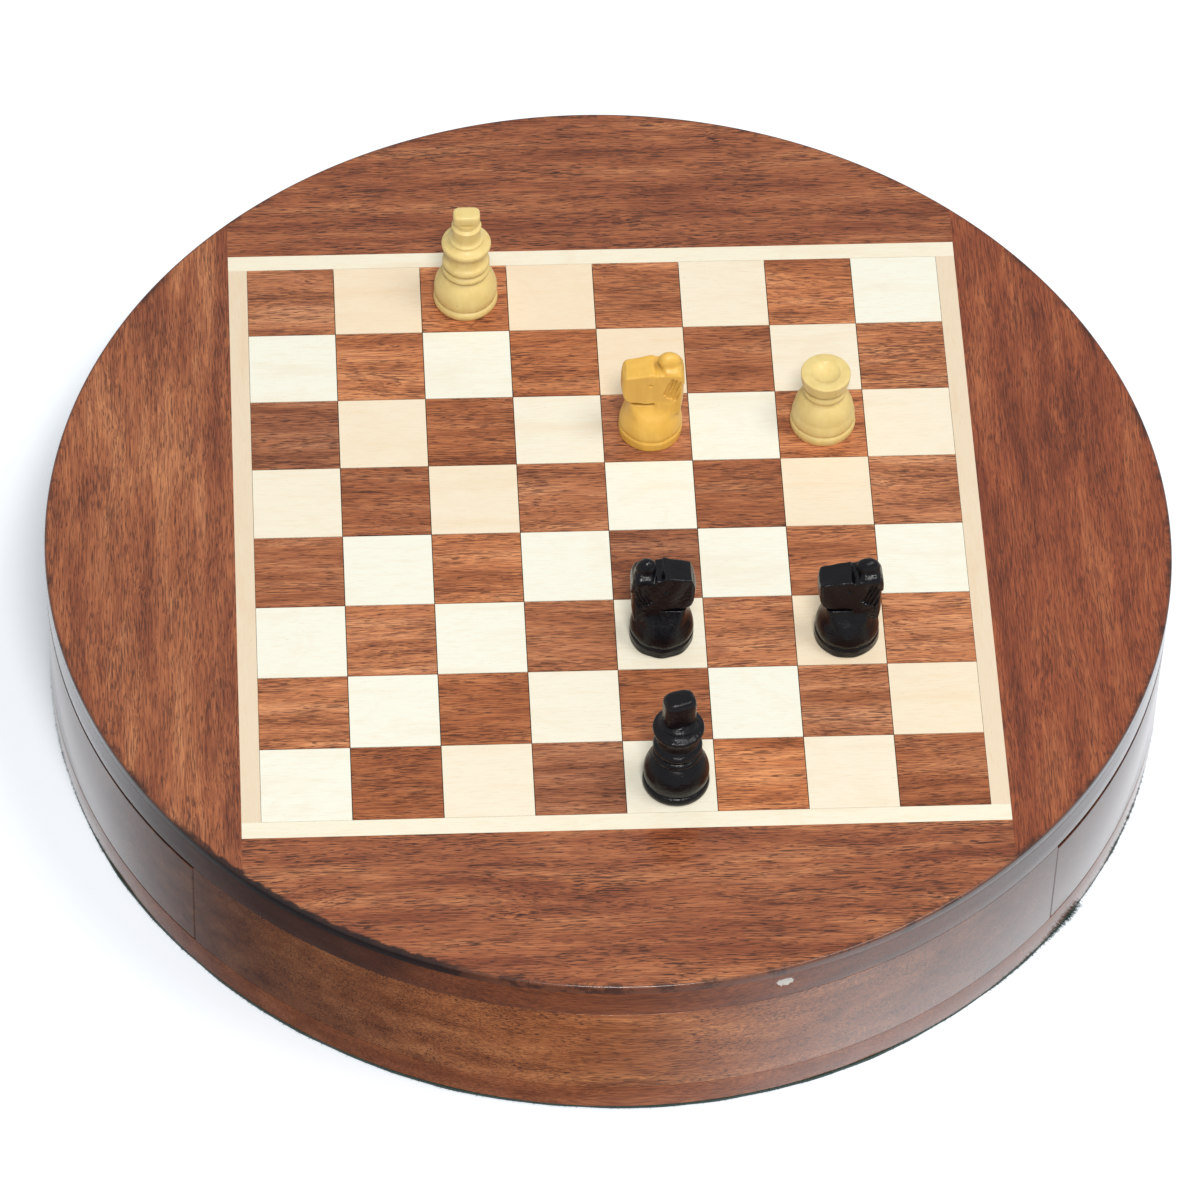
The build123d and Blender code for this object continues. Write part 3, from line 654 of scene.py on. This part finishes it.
# Felt. Tufts are (degrees, spread in degrees, longest fibre in mm)


FELT_EDGE_POINTS = 720
FELT_WAVES = (5, 9, 17, 41, 67)
FIBRES = 3600
FIBRES_PER_TUFTED = 6
TUFTS = ((-37.5, 1.8, 1.5), (-40.0, 2.5, 1.1), (-46.0, 5.0, 0.6), (-24.0, 8.0, 0.6), (-110.0, 6.0, 0.55),
         (-130.0, 8.0, 0.5))


def make_base_felt():
    """The felt, cut a little unevenly, and the fibres that stand out of its edge."""
    draw = random.Random(7)
    waves = [(count, draw.uniform(0.02, 0.09) * MM, draw.uniform(0, math.tau)) for count in FELT_WAVES]

    def edge(turn):
        return CASE_RADIUS + sum(size * math.sin(count * turn + phase) for count, size, phase in waves)

    def plan(inset):
        turns = [math.tau * i / FELT_EDGE_POINTS for i in range(FELT_EDGE_POINTS)]
        return [((edge(t) - inset) * math.cos(t), (edge(t) - inset) * math.sin(t)) for t in turns]

    levels = rounded(0.0, FELT_TOP, 0.2 * MM, 0.1 * MM)
    cloth = loft("base_felt_cloth", plan, levels, BASE_FELT)
    seat(cloth, "case", "base_felt", "base_felt")
    fringe = felt_fringe(edge, draw)
    seat(fringe, "case", "base_felt")
    plan_area(plan(0))


def felt_fringe(edge, draw):
    """Tapered fibres round the felt's edge, longer in a few tufts."""
    verts, faces = [], []
    for strand in range(FIBRES):
        turn = draw.uniform(0, math.tau)
        length = draw.uniform(0.15, 0.55) * MM
        if strand % FIBRES_PER_TUFTED == 0:
            middle, spread, longest = TUFTS[(strand // FIBRES_PER_TUFTED) % len(TUFTS)]
            turn = math.radians(draw.gauss(middle, spread / 2))
            length = draw.uniform(0.3, 1.0) * longest * MM
        outward = Vector((math.cos(turn), math.sin(turn), 0))
        root = outward * (edge(turn) - 0.15 * MM) + Vector((0, 0, draw.uniform(0.12, 0.65) * MM))
        lean = Vector((-outward.y, outward.x, 0)) * draw.uniform(-0.9, 0.9)
        rise = Vector((0, 0, draw.uniform(-0.35, 0.45)))
        way = (outward + lean + rise).normalized() * length
        if (root + way).z < 0.03 * MM:
            way.z = 0.03 * MM - root.z
        thick = draw.uniform(0.035, 0.06) * MM
        bend = lean * length * draw.uniform(-0.3, 0.3)
        add_strand(verts, faces, [root, root + way * 0.5 + bend, root + way], thick)
    return add_mesh("base_felt_fibres", verts, faces, BASE_FELT)


def add_strand(verts, faces, line, thick):
    """A three-sided fibre that tapers to a point."""
    first = len(verts)
    side = (line[1] - line[0]).cross(Vector((0, 0, 1))).normalized()
    for place, width in zip(line[:-1], (thick, thick * 0.7)):
        for turn in (0, math.tau / 3, 2 * math.tau / 3):
            verts.append(place + side * width * math.cos(turn) + Vector((0, 0, width * math.sin(turn))))
    verts.append(line[-1])
    for i in range(3):
        j = (i + 1) % 3
        faces.append((first + i, first + j, first + 3 + j, first + 3 + i))
        faces.append((first + 3 + i, first + 3 + j, first + 6))
    faces.append((first + 2, first + 1, first))


def make_lining(name, side):
    levels = rounded(LINING_LOW, LINING_TOP, 0.1 * MM, 0.25 * MM)
    lining = loft(name + "_lining_cloth", lining_plan(side), levels, LINING_FELT)
    seat(lining, name, "drawer_lining", name + "_lining")
    plan_area(lining_plan(side)(0))


# Turned pieces: an outline is stations of (radius, height, bulge) in millimetres, from the foot up


BORE = ((0.0, 2.1, 0), (3.1, 2.1, 0), (3.1, 0.0, 0))
KING_STEM = (
    (4.85, 0.0, 0), (5.1, 0.25, 0.05), (5.1, 1.2, 0.1), (4.85, 1.5, 0.05), (4.72, 1.72, -0.05),
    (4.95, 2.0, 0.03), (3.35, 6.75, 0.72), (3.2, 7.0, 0), (3.35, 7.05, 0), (3.35, 8.35, 0.5),
    (3.3, 8.65, 0), (3.3, 10.1, 0.5), (3.12, 10.45, 0), (3.05, 12.2, -0.12), (3.75, 12.95, -0.1),
    (3.95, 13.2, 0.05), (3.85, 13.85, 0.08), (2.75, 14.5, -0.12), (2.62, 14.95, 0.12), (2.3, 15.2, 0),
)
KING_HIGH = 20.7
KING_TOP = ((2.25, 16.4, -0.05), (2.38, 17.75, 0), (1.9, 18.15, 0), (1.9, 18.95, 0), (0.0, 18.95, 0))
BLACK_KING_TOP = ((1.7, 15.7, 0), (1.7, 18.95, 0), (0.0, 18.95, 0))
QUEEN_TOP = (
    (2.5, 16.2, -0.1), (3.0, 16.95, 0), (2.9, 17.1, 0), (1.1, 17.2, 0), (0.95, 17.3, 0),
    (0.0, 19.0, 0.62),
)
ROOK = (
    (5.0, 0.0, 0), (5.15, 0.25, 0.05), (5.15, 1.35, 0.08), (4.92, 1.65, 0.03), (4.84, 1.85, -0.03),
    (5.04, 2.15, 0.02), (4.75, 4.0, 0.1), (3.2, 7.2, 0.38), (3.1, 7.75, -0.05), (3.15, 7.85, 0),
    (3.1, 9.0, 0.35), (3.0, 9.2, 0), (3.35, 9.55, 0), (3.82, 10.6, 0.08), (3.95, 12.0, 0),
    (3.8, 12.28, 0.08), (2.4, 12.3, 0), (2.25, 12.2, 0.02), (0.3, 11.45, -0.12), (0.0, 11.42, 0),
)
BISHOP = (
    (4.85, 0.0, 0), (5.1, 0.25, 0.05), (5.1, 1.25, 0.08), (4.75, 1.7, 0), (4.9, 1.95, 0),
    (2.9, 6.4, 0.65), (2.15, 8.9, -0.15), (3.2, 9.55, 0), (3.1, 9.85, 0.05), (2.1, 10.2, 0),
    (2.5, 12.2, 0.15), (0.7, 14.7, 0.35), (0.75, 15.0, 0.1), (0.0, 15.2, 0.05),
)
PAWN = (
    (4.5, 0.0, 0), (4.7, 0.25, 0.04), (4.7, 1.25, 0.08), (4.4, 1.65, 0), (4.5, 1.9, 0),
    (2.3, 5.0, 0.55), (3.0, 5.5, 0), (2.9, 5.85, 0.05), (1.75, 6.3, -0.05), (1.9, 7.1, 0),
    (0.0, 11.35, 1.45),
)
KNIGHT_BARREL = (
    (0.0, 0.0), (4.9, 0.0), (5.05, 0.2), (5.05, 1.6), (4.92, 1.85), (4.78, 2.05), (4.98, 2.3),
    (5.0, 2.85), (4.92, 3.4), (4.72, 4.2), (4.45, 4.9), (4.22, 5.5), (4.05, 6.3), (3.95, 7.2), (3.9, 8.5),
    (0.0, 8.5),
)
MANE_CUTS = (
    ((3.1, 14.3), (1.9, 10.6)), ((3.65, 14.0), (2.35, 10.1)), ((4.25, 13.4), (2.9, 9.9)),
    ((4.85, 12.6), (3.6, 9.5)),
)
# A knight's brow height, where the slit under its jaw ends, the seed and size of the carver's
# unevenness, the blend of head and barrel, and the radius and softness of the valley before the ear
Knight = namedtuple("Knight", "brow slit_end seed hand blend valley soft")
KNIGHTS = {
    "knight": Knight(15.5, -3.3, 0.0, 0.03, 0.7, 0.4, 0.55),
    "knight_left": Knight(16.3, -6.0, 1.3, 0.045, 0.4, 0.8, 0.3),
    "knight_right": Knight(15.3, -6.0, 2.9, 0.045, 0.25, 0.6, 0.25),
}
KNIGHT_CREST = (
    (1.2, 12.8), (1.2, 15.2), (2.0, 15.9), (3.9, 15.9), (4.4, 15.6), (4.85, 14.8), (5.05, 13.8), (5.1, 12.5),
)
TURNED = {
    "king": KING_STEM + KING_TOP, "king_black": KING_STEM + BLACK_KING_TOP, "queen": KING_STEM + QUEEN_TOP,
    "rook": ROOK, "bishop": BISHOP, "pawn": PAWN,
}
# A finial's half width, half depth, foot, crown and roundness of its plan
FINIALS = {"king": (2.15, 1.4, 18.3, 0.55, 0.5), "king_black": (2.5, 1.9, 15.1, 1.2, 0.62)}
MAGNET = (
    (0.0, 0.02, 0), (2.85, 0.02, 0), (3.0, 0.17, 0.04), (3.0, 1.83, 0), (2.85, 2.0, 0.04), (0.0, 2.0, 0),
)
TURNED_SIDES = 72
FINIAL_SIDES = 40
MAGNET_SIDES = 40
SWELL_STEP = 0.12
ON_AXIS = 1e-4


def swell(start, end, bulge):
    """Points after start on the way to end, an arc that swells by bulge to its right."""
    if not bulge:
        return [end]
    chord = math.dist(start, end)
    radius = (chord * chord / 4 + bulge * bulge) / (2 * abs(bulge))
    half = math.asin(min(1.0, chord / 2 / radius))
    along_x, along_y = (end[0] - start[0]) / chord, (end[1] - start[1]) / chord
    middle_x, middle_y = (start[0] + end[0]) / 2, (start[1] + end[1]) / 2
    sign = math.copysign(1.0, bulge)
    count = max(3, round(half * radius / SWELL_STEP))
    points = []
    for step in range(1, count + 1):
        turn = -half + 2 * half * step / count
        run, rise = radius * math.sin(turn), sign * (radius * math.cos(turn) - radius + abs(bulge))
        points.append((middle_x + along_x * run + along_y * rise, middle_y + along_y * run - along_x * rise))
    return points


def outline_points(stations):
    points = [stations[0][:2]]
    for start, end in zip(stations, stations[1:]):
        points += swell(start[:2], end[:2], end[2])
    return points


def add_ring(verts, points):
    """Adds a ring of points and gives their numbers."""
    first = len(verts)
    verts += points
    return list(range(first, len(verts)))


def circle(radius, height, sides):
    """A level ring of points in metres, from millimetres."""
    turns = [math.tau * i / sides for i in range(sides)]
    return [(radius * MM * math.cos(turn), radius * MM * math.sin(turn), height * MM) for turn in turns]


def join_rings(faces, rings):
    """Walls between stacked rings, with three corners where a ring is one point."""
    for lower, upper in zip(rings, rings[1:]):
        for i in range(len(lower)):
            faces.append(list(dict.fromkeys([lower[i - 1], lower[i], upper[i], upper[i - 1]])))


def turned_mesh(stations):
    """Vertices and faces of a piece turned about its axis, with its magnet's bore."""
    verts, faces, rings = [], [], []
    for radius, height in outline_points(BORE + stations):
        if radius < ON_AXIS:
            rings.append([len(verts)] * TURNED_SIDES)
            verts.append((0.0, 0.0, height * MM))
        else:
            rings.append(add_ring(verts, circle(radius, height, TURNED_SIDES)))
    join_rings(faces, rings)
    return verts, faces


def finial_mesh(verts, faces, width, depth, low, crown, roundness):
    """Adds the king's finial, a block with soft corners whose top is rounded off over a crown."""
    levels = [(low, 0.3), (low + 0.45, 0.1), (low + 0.8, 0.0)]
    for step in range(7):
        turn = math.pi / 2 * step / 6
        levels.append((KING_HIGH - crown * (1 - math.sin(turn)), crown * 0.75 * (1 - math.cos(turn))))
    rings = []
    for z, inset in levels:
        points = []
        for i in range(FINIAL_SIDES):
            turn = math.tau * (i + 0.5) / FINIAL_SIDES
            cos, sin = math.cos(turn), math.sin(turn)
            x = math.copysign(abs(cos) ** roundness, cos) * (width - inset)
            y = math.copysign(abs(sin) ** roundness, sin) * (depth - inset)
            points.append((x * MM, y * MM, z * MM))
        rings.append(add_ring(verts, points))
    join_rings(faces, rings)
    faces += [rings[0][::-1], rings[-1]]


def magnet_mesh():
    """The disc magnet, its edges eased."""
    verts, faces = [], []
    rings = [add_ring(verts, circle(*point, MAGNET_SIDES)) for point in outline_points(MAGNET)[1:-1]]
    join_rings(faces, rings)
    return verts, faces + [rings[0][::-1], rings[-1]]


# Knights, carved in a distance field and skinned


GRID = 0.11
KNIGHT_HALF = 5.6
KNIGHT_TOP = 18.0
BLANK_RADIUS = 5.02
NECK_HALF = 2.25
SLIT_Z = 8.45
SLIT_HALF = 0.25
SLIT_BACK = 0.3
SLIT_FLOOR = 1.5
CUT_Y = 2.22
CUT_RADIUS = 0.27
EYE_X = -0.3
EYE_Y = 2.35
EYE_Z = 12.9
EYE_RADIUS = 0.36
BORE_RADIUS = 3.1
BORE_DEPTH = 2.1
SMOOTH_ROUNDS = 2
SMOOTH_SHARE = 0.5
SMOOTH_RETURN = 1.04


def smooth_least(a, b, soft):
    """The lesser of two fields, blended over a softness."""
    near = np.clip(0.5 + 0.5 * (b - a) / soft, 0, 1)
    return b + (a - b) * near - soft * near * (1 - near)


def smooth_most(a, b, soft):
    return -smooth_least(-a, -b, soft)


def polygon_field(corners, u, v):
    """Signed distance to a closed polygon, negative inside."""
    best = np.full(u.shape, np.inf)
    inside = np.zeros(u.shape, bool)
    for (au, av), (bu, bv) in zip(corners, corners[1:] + corners[:1]):
        eu, ev = bu - au, bv - av
        wu, wv = u - au, v - av
        t = np.clip((wu * eu + wv * ev) / (eu * eu + ev * ev), 0, 1)
        best = np.minimum(best, (wu - eu * t) ** 2 + (wv - ev * t) ** 2)
        if ev:
            inside ^= ((av <= v) != (bv <= v)) & (u < au + eu * (v - av) / ev)
    return np.where(inside, -1, 1) * np.sqrt(best)


def capsule_field(start, end, radius, x, y, z):
    """Signed distance to a rod with round ends."""
    way = np.subtract(end, start)
    t = (x - start[0]) * way[0] + (y - start[1]) * way[1] + (z - start[2]) * way[2]
    t = np.clip(t / np.dot(way, way), 0, 1)
    off = [axis - first - run * t for axis, first, run in zip((x, y, z), start, way)]
    return np.sqrt(off[0] ** 2 + off[1] ** 2 + off[2] ** 2) - radius


def round_most(a, b, radius):
    """The greater of two fields, with the edge between them rounded to a radius."""
    corner = np.sqrt(np.maximum(a + radius, 0) ** 2 + np.maximum(b + radius, 0) ** 2) - radius
    return np.where((a > -radius) & (b > -radius), corner, np.maximum(a, b))


def knight_side(brow):
    """The head seen from the side, muzzle towards -X."""
    return (
        (0.6, 6.0), (0.6, 8.6), (-3.4, 8.7), (-4.2, 9.1), (-4.75, 10.2), (-5.1, 11.3), (-5.1, 13.1),
        (-4.8, 13.9), (-4.2, brow - 0.95), (0.4, brow), (1.2, brow - 0.1), (1.4, 15.2), (4.4, 15.2),
        (4.95, 13.8), (5.2, 11.8), (5.15, 8.2), (4.6, 6.0),
    )


def knight_field(x, y, z, knight):
    """Signed distance to a knight that faces -X, carved from a turned blank."""
    radius = np.sqrt(x * x + y * y)
    side_y = np.abs(y)
    saddle = (side_y - NECK_HALF - 2.4 * np.maximum((8.3 - z) / 3.3, 0) ** 1.5) * 0.7
    barrel = smooth_most(polygon_field(KNIGHT_BARREL, radius, z), saddle, 0.5)
    cheeks = side_y - np.interp(x, (-5.0, 0.3), (2.05, 2.3))
    head = round_most(polygon_field(knight_side(knight.brow), x, z), cheeks, 0.3)
    head = round_most(head, radius - BLANK_RADIUS, 0.3)
    mane = round_most(polygon_field(KNIGHT_CREST, x, z), side_y - NECK_HALF, 0.9)
    ear = (np.sqrt(((x - 2.6) / 1.85) ** 2 + (y / 1.3) ** 2 + ((z - 16.25) / 1.75) ** 2) - 1) * 1.3
    solid = smooth_least(barrel, head, knight.blend)
    solid = smooth_least(solid, smooth_least(mane, ear, 0.6), 0.2)
    low, high = (0.72, -3, knight.brow + 0.15), (0.72, 3, knight.brow + 0.1)
    solid = smooth_most(solid, -capsule_field(low, high, knight.valley, x, y, z), knight.soft)
    slit = np.maximum(np.abs(z - SLIT_Z) - SLIT_HALF, SLIT_FLOOR - side_y)
    slit = np.maximum(slit, np.maximum(x - SLIT_BACK, knight.slit_end - x))
    solid = np.maximum(solid, -slit)
    for mirror in (-1, 1):
        cut, face = mirror * CUT_Y, mirror * EYE_Y
        for (x0, z0), (x1, z1) in MANE_CUTS:
            groove = capsule_field((x0, cut, z0), (x1, cut, z1), CUT_RADIUS, x, y, z)
            solid = smooth_most(solid, -groove, 0.06)
        eye = capsule_field((EYE_X, face, EYE_Z), (EYE_X, face * 1.1, EYE_Z), EYE_RADIUS, x, y, z)
        solid = smooth_most(solid, -eye, 0.1)
    seed = knight.seed
    hand = np.sin(1.1 * x + seed) * np.sin(1.4 * y + 2 * seed) + np.sin(1.9 * x + 0.8 * z + 3 * seed)
    solid = solid + knight.hand * hand
    bore = np.maximum(radius - BORE_RADIUS, z - BORE_DEPTH)
    return np.maximum(np.maximum(solid, -bore), -z)


def skin_field(field, low, step):
    """Surface nets: one vertex in each cell that the surface crosses, and quads between them."""
    inside = field < 0
    cells = [n - 1 for n in field.shape]
    total = np.zeros((*cells, 3))
    hits = np.zeros(cells)
    base = np.stack(np.meshgrid(*[np.arange(n) for n in cells], indexing="ij"), -1)
    for axis in range(3):
        others = [a for a in range(3) if a != axis]
        for first in (0, 1):
            for second in (0, 1):
                offset = [0, 0, 0]
                offset[others[0]], offset[others[1]] = first, second
                there = list(offset)
                there[axis] = 1
                a = field[tuple(slice(o, o + n) for o, n in zip(offset, cells))]
                b = field[tuple(slice(o, o + n) for o, n in zip(there, cells))]
                crossed = (a < 0) != (b < 0)
                share = np.where(crossed, a / np.where(crossed, a - b, 1), 0)
                place = np.array(offset, float) + np.zeros((*cells, 3))
                place[..., axis] = share
                total += place * crossed[..., None]
                hits += crossed
    used = hits > 0
    index = np.full(cells, -1)
    index[used] = np.arange(used.sum())
    verts = np.array(low) + step * (base[used] + total[used] / hits[used][:, None])
    faces = []
    for axis in range(3):
        b, c = (axis + 1) % 3, (axis + 2) % 3
        inner = [slice(1, -1)] * 3
        ahead = list(inner)
        inner[axis] = slice(0, -1)
        ahead[axis] = slice(1, None)
        flips = inside[tuple(inner)] != inside[tuple(ahead)]
        where = np.argwhere(flips)
        where[:, b] += 1
        where[:, c] += 1
        outward = inside[tuple(where.T)]
        quad = []
        for back_b, back_c in ((1, 1), (0, 1), (0, 0), (1, 0)):
            corner = where.copy()
            corner[:, b] -= back_b
            corner[:, c] -= back_c
            quad.append(index[tuple(corner.T)])
        quad = np.stack(quad, 1)
        quad[~outward] = quad[~outward][:, ::-1]
        faces.append(quad)
    return verts, np.concatenate(faces)


def knight_mesh(knight):
    """Vertices in metres and faces of a knight."""
    step = GRID * 1
    flat = np.arange(-KNIGHT_HALF, KNIGHT_HALF + step, step)
    tall = np.arange(-3 * step, KNIGHT_TOP + 4 * step, step)
    x, y, z = np.meshgrid(flat, flat, tall, indexing="ij")
    verts, faces = skin_field(knight_field(x, y, z, knight), (flat[0], flat[0], tall[0]), step)
    return verts * MM, faces


def smooth_mesh(piece):
    """Evens out the skin without shrinking it."""
    mesh = piece.data
    edges = np.zeros(len(mesh.edges) * 2, np.int64)
    mesh.edges.foreach_get("vertices", edges)
    edges = edges.reshape(-1, 2)
    co = np.zeros(len(mesh.vertices) * 3)
    mesh.vertices.foreach_get("co", co)
    co = co.reshape(-1, 3)
    degree = np.bincount(edges.ravel(), minlength=len(co))[:, None]
    for turn in range(2 * SMOOTH_ROUNDS):
        around = np.zeros_like(co)
        np.add.at(around, edges[:, 0], co[edges[:, 1]])
        np.add.at(around, edges[:, 1], co[edges[:, 0]])
        share = SMOOTH_SHARE if turn % 2 == 0 else -SMOOTH_SHARE * SMOOTH_RETURN
        co = co + share * (around / degree - co)
    mesh.vertices.foreach_set("co", co.ravel())
    mesh.update()


# Chess pieces on their places


def piece_meshes():
    """The mesh of each kind of piece."""
    meshes = {kind: turned_mesh(stations) for kind, stations in TURNED.items()}
    for kind, sizes in FINIALS.items():
        finial_mesh(*meshes[kind], *sizes)
    meshes.update((kind, knight_mesh(knight)) for kind, knight in KNIGHTS.items())
    return meshes


def make_piece(name, kind, meshes, material, place):
    """A piece at a place, a matrix from its own axes to the frame."""
    verts, faces = meshes[kind]
    piece = add_mesh(name, verts, faces, material, 50.0)
    if kind.startswith("knight"):
        smooth_mesh(piece)
    piece.matrix_world = place
    return piece


def foot_of(node_name, turn):
    """Where a standing piece's foot is, turned about its axis by degrees."""
    low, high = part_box(node_name)
    foot = Vector(((low.x + high.x) / 2, (low.y + high.y) / 2, low.z))
    return Matrix.Translation(foot) @ Matrix.Rotation(math.radians(turn), 4, "Z")


STANDING = (
    ("white_king", "king", WHITE_WOOD, 0),
    ("white_knight", "knight", KNIGHT_WOOD, 0),
    ("white_rook", "rook", WHITE_WOOD, 0),
    ("black_knight_left", "knight_left", BLACK_WOOD, 180),
    ("black_knight_right", "knight_right", BLACK_WOOD, 0),
    ("black_king", "king_black", BLACK_WOOD, 14),
)


def make_standing(meshes):
    for name, kind, material, turn in STANDING:
        piece = make_piece(name + "_wood", kind, meshes, material, foot_of(name, turn))
        seat(piece, name, "white_pieces" if name.startswith("white") else "black_pieces", name)
        repaint(name + "_magnet", NICKEL)


# The rim of its foot that a piece on its side rests on, as (radius, height), and the knight's highest point
REST_POINTS = {"pawn": (4.7, 1.25), "rook": (5.1, 1.35), "bishop": (5.1, 1.25), "queen": (5.1, 1.2),
               "knight": (5.1, 1.3)}
STOWED_SWING = 8.0
STOWED_GAP = 0.1 * MM
KNIGHT_HIGHEST = (2.2, 18.6)
FOOT_CLEAR = 1.5


def lean_of(kind):
    """Degrees that a piece on its side dips its head, resting on its foot's rim."""
    rim_radius, rim_z = REST_POINTS[kind]
    above = [KNIGHT_HIGHEST]
    if kind != "knight":
        above = [(r, z) for r, z in outline_points(TURNED[kind]) if z > rim_z + FOOT_CLEAR]
    return math.degrees(min(math.atan2(rim_radius - r, z - rim_z) for r, z in above))


def stow(name, kind, meshes, material, side, row_x, y, drawer):
    """Lays a piece on its side on a drawer's lining, with a magnet in its foot."""
    swing = STOWED_SWING * math.sin((row_x + y) / MM)
    turn = Matrix.Rotation(math.radians(swing), 4, "Z")
    turn = turn @ Matrix.Rotation(math.radians(90 + lean_of(kind)), 4, "Y")
    if kind == "knight":
        turn = turn @ Matrix.Rotation(math.radians(90), 4, "Z")
    corners = np.array(meshes[kind][0]) @ np.array(turn.to_3x3()).T
    low = corners.min(0)
    shift = Matrix.Translation((row_x - low[0], y, LINING_TOP + STOWED_GAP - low[2]))
    place = Matrix.Rotation(math.pi / 2 * side, 4, "Z") @ shift @ turn
    piece = make_piece(name + "_wood", kind, meshes, material, place)
    disc = add_mesh(name + "_magnet", *magnet_mesh(), NICKEL)
    disc.matrix_world = place
    seat(disc, drawer, "magnet")
    return piece


def row_places(count):
    pitch = 2 * INSIDE_HALF / count
    return [(index - (count - 1) / 2) * pitch for index in range(count)]


def make_stowed(colour, side, drawer, officers, meshes, material):
    """A row of pawns and a row of officers in one drawer."""
    slot = colour + "_pieces"
    rows = [("pawn", y) for y in row_places(8)]
    rows += list(zip(officers, row_places(len(officers))))
    for number, (kind, y) in enumerate(rows):
        many = sum(1 for other, _ in rows if other == kind) > 1
        node_name = f"{colour}_{kind}{'s' if many else ''}_stowed"
        low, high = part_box(node_name)
        row_x = min(abs(low.x), abs(high.x))
        piece = stow(f"{colour}_{kind}_{number}", kind, meshes, material, side, row_x, y, drawer)
        seat(piece, drawer, slot, node_name)


# Drawers


def make_drawer(name, side, gap):
    """A drawer whose front is a little lower than its opening, by a gap."""
    levels = rounded(DRAWER_LOW, DRAWER_HIGH - gap, SEAM, SEAM)
    front = loft(name + "_front_wood", front_plan(side), levels, BLOCKS)
    seat(front, name, "block_wood", name + "_front")
    make_lining(name, side)
    for part in ("side_front", "side_rear", "bottom"):
        repaint(f"{name}_{part}", DRAWER_SIDES)
    repaint(name + "_back", DRAWER_BACKS)


def repaint(node_name, material):
    """A CAD node that keeps its shape and gets its own material."""
    NODES[node_name].data.materials.clear()
    NODES[node_name].data.materials.append(material)


def paint_board():
    """Materials for the CAD nodes of the board and under it."""
    for node_name, material in (
        ("board_dark_squares", DARK_SQUARES), ("board_light_squares", LIGHT_SQUARES),
        ("border_strip_front", BORDER_ACROSS), ("border_strip_rear", BORDER_ACROSS),
        ("border_strip_left", BORDER_ALONG), ("border_strip_right", BORDER_ALONG),
        ("steel_sheet", STEEL), ("centre_divider", DRAWER_BACKS),
    ):
        repaint(node_name, material)


# Camera, floor and light


CAMERA_AT = (-0.05986, -0.75152, 0.95279)
CAMERA_AZIMUTH = -4.478
CAMERA_ELEVATION = 51.229
CAMERA_ROLL = 2.147
CAMERA_LENS = 226.36
SENSOR = 36.0
AMBIENT = 0.29
MIRRORED = 0.75
FLOOR_HALF = 3.0
FLOOR_DROP = 0.0001


def make_camera():
    data = bpy.data.cameras.new("camera")
    data.lens = CAMERA_LENS
    data.sensor_width = SENSOR
    data.clip_start = 0.05
    camera = bpy.data.objects.new("camera", data)
    SCENE.collection.objects.link(camera)
    turn = Matrix.Rotation(math.radians(CAMERA_AZIMUTH), 4, "Z")
    turn = turn @ Matrix.Rotation(math.radians(90 - CAMERA_ELEVATION), 4, "X")
    turn = turn @ Matrix.Rotation(math.radians(CAMERA_ROLL), 4, "Z")
    camera.matrix_world = Matrix.Translation(CAMERA_AT) @ turn
    SCENE.camera = camera


def make_floor():
    """A pale floor that keeps the shadow and is white where it is lit."""
    half = FLOOR_HALF
    verts = [(-half, -half, 0), (half, -half, 0), (half, half, 0), (-half, half, 0)]
    material, tree, shader = new_material("floor_paper")
    rays = node(tree, "LightPath")
    mirrored = maths(tree, "MULTIPLY", rays.outputs["Is Glossy Ray"], 0.33)
    seen = maths(tree, "MULTIPLY_ADD", rays.outputs["Is Camera Ray"], 0.31, mirrored)
    plug_all(tree, shader, Base_Color=(0.85, 0.88, 0.93, 1), Roughness=0.9,
             Emission_Color=(0.88, 0.95, 1.0, 1), Emission_Strength=seen)
    floor = add_mesh("floor", verts, [(0, 1, 2, 3)], material)
    floor.location.z = -FLOOR_DROP


def make_world():
    """White where it is seen or mirrored, and a plain soft light everywhere else."""
    world = bpy.data.worlds.new("world")
    SCENE.world = world
    world.use_nodes = True
    tree = world.node_tree
    tree.nodes.clear()
    rays = node(tree, "LightPath")
    strength = maths(tree, "MULTIPLY_ADD", rays.outputs["Is Glossy Ray"], MIRRORED - AMBIENT, AMBIENT)
    strength = maths(tree, "MULTIPLY_ADD", rays.outputs["Is Camera Ray"], 1 - AMBIENT, strength)
    back = node(tree, "Background", Color=(0.95, 0.98, 1.0, 1), Strength=strength)
    output = node(tree, "OutputWorld")
    tree.links.new(back.outputs[0], output.inputs["Surface"])


def make_lamp(name, place, size, power, colour):
    """A round soft light aimed at the board."""
    data = bpy.data.lights.new(name, "AREA")
    data.shape = "DISK"
    data.size = size
    data.energy = power
    data.color = colour
    lamp = bpy.data.objects.new(name, data)
    SCENE.collection.objects.link(lamp)
    lamp.location = place
    lamp.rotation_euler = (Vector((0, 0, BOARD_TOP)) - Vector(place)).to_track_quat("-Z", "Y").to_euler()


def make_set():
    make_case()
    make_base_felt()
    for name, side, gap in (("drawer_left", 2, 0.15 * MM), ("drawer_right", 0, 0.5 * MM)):
        make_drawer(name, side, gap)
    paint_board()
    meshes = piece_meshes()
    make_standing(meshes)
    make_stowed("white", 0, "drawer_right", ("rook", "bishop", "queen", "bishop", "knight"), meshes, WHITE_WOOD)
    make_stowed("black", 2, "drawer_left", ("rook", "bishop", "queen", "bishop", "rook"), meshes, BLACK_WOOD)


make_set()
make_camera()
make_floor()
make_world()
make_lamp("front_light", (0.05, -0.76, 1.33), 0.4, 13.3, (1.0, 0.985, 0.96))
make_lamp("right_light", (0.62, -0.13, 1.45), 0.65, 7.2, (1.0, 0.99, 0.97))
SCENE.view_settings.view_transform = "Standard"
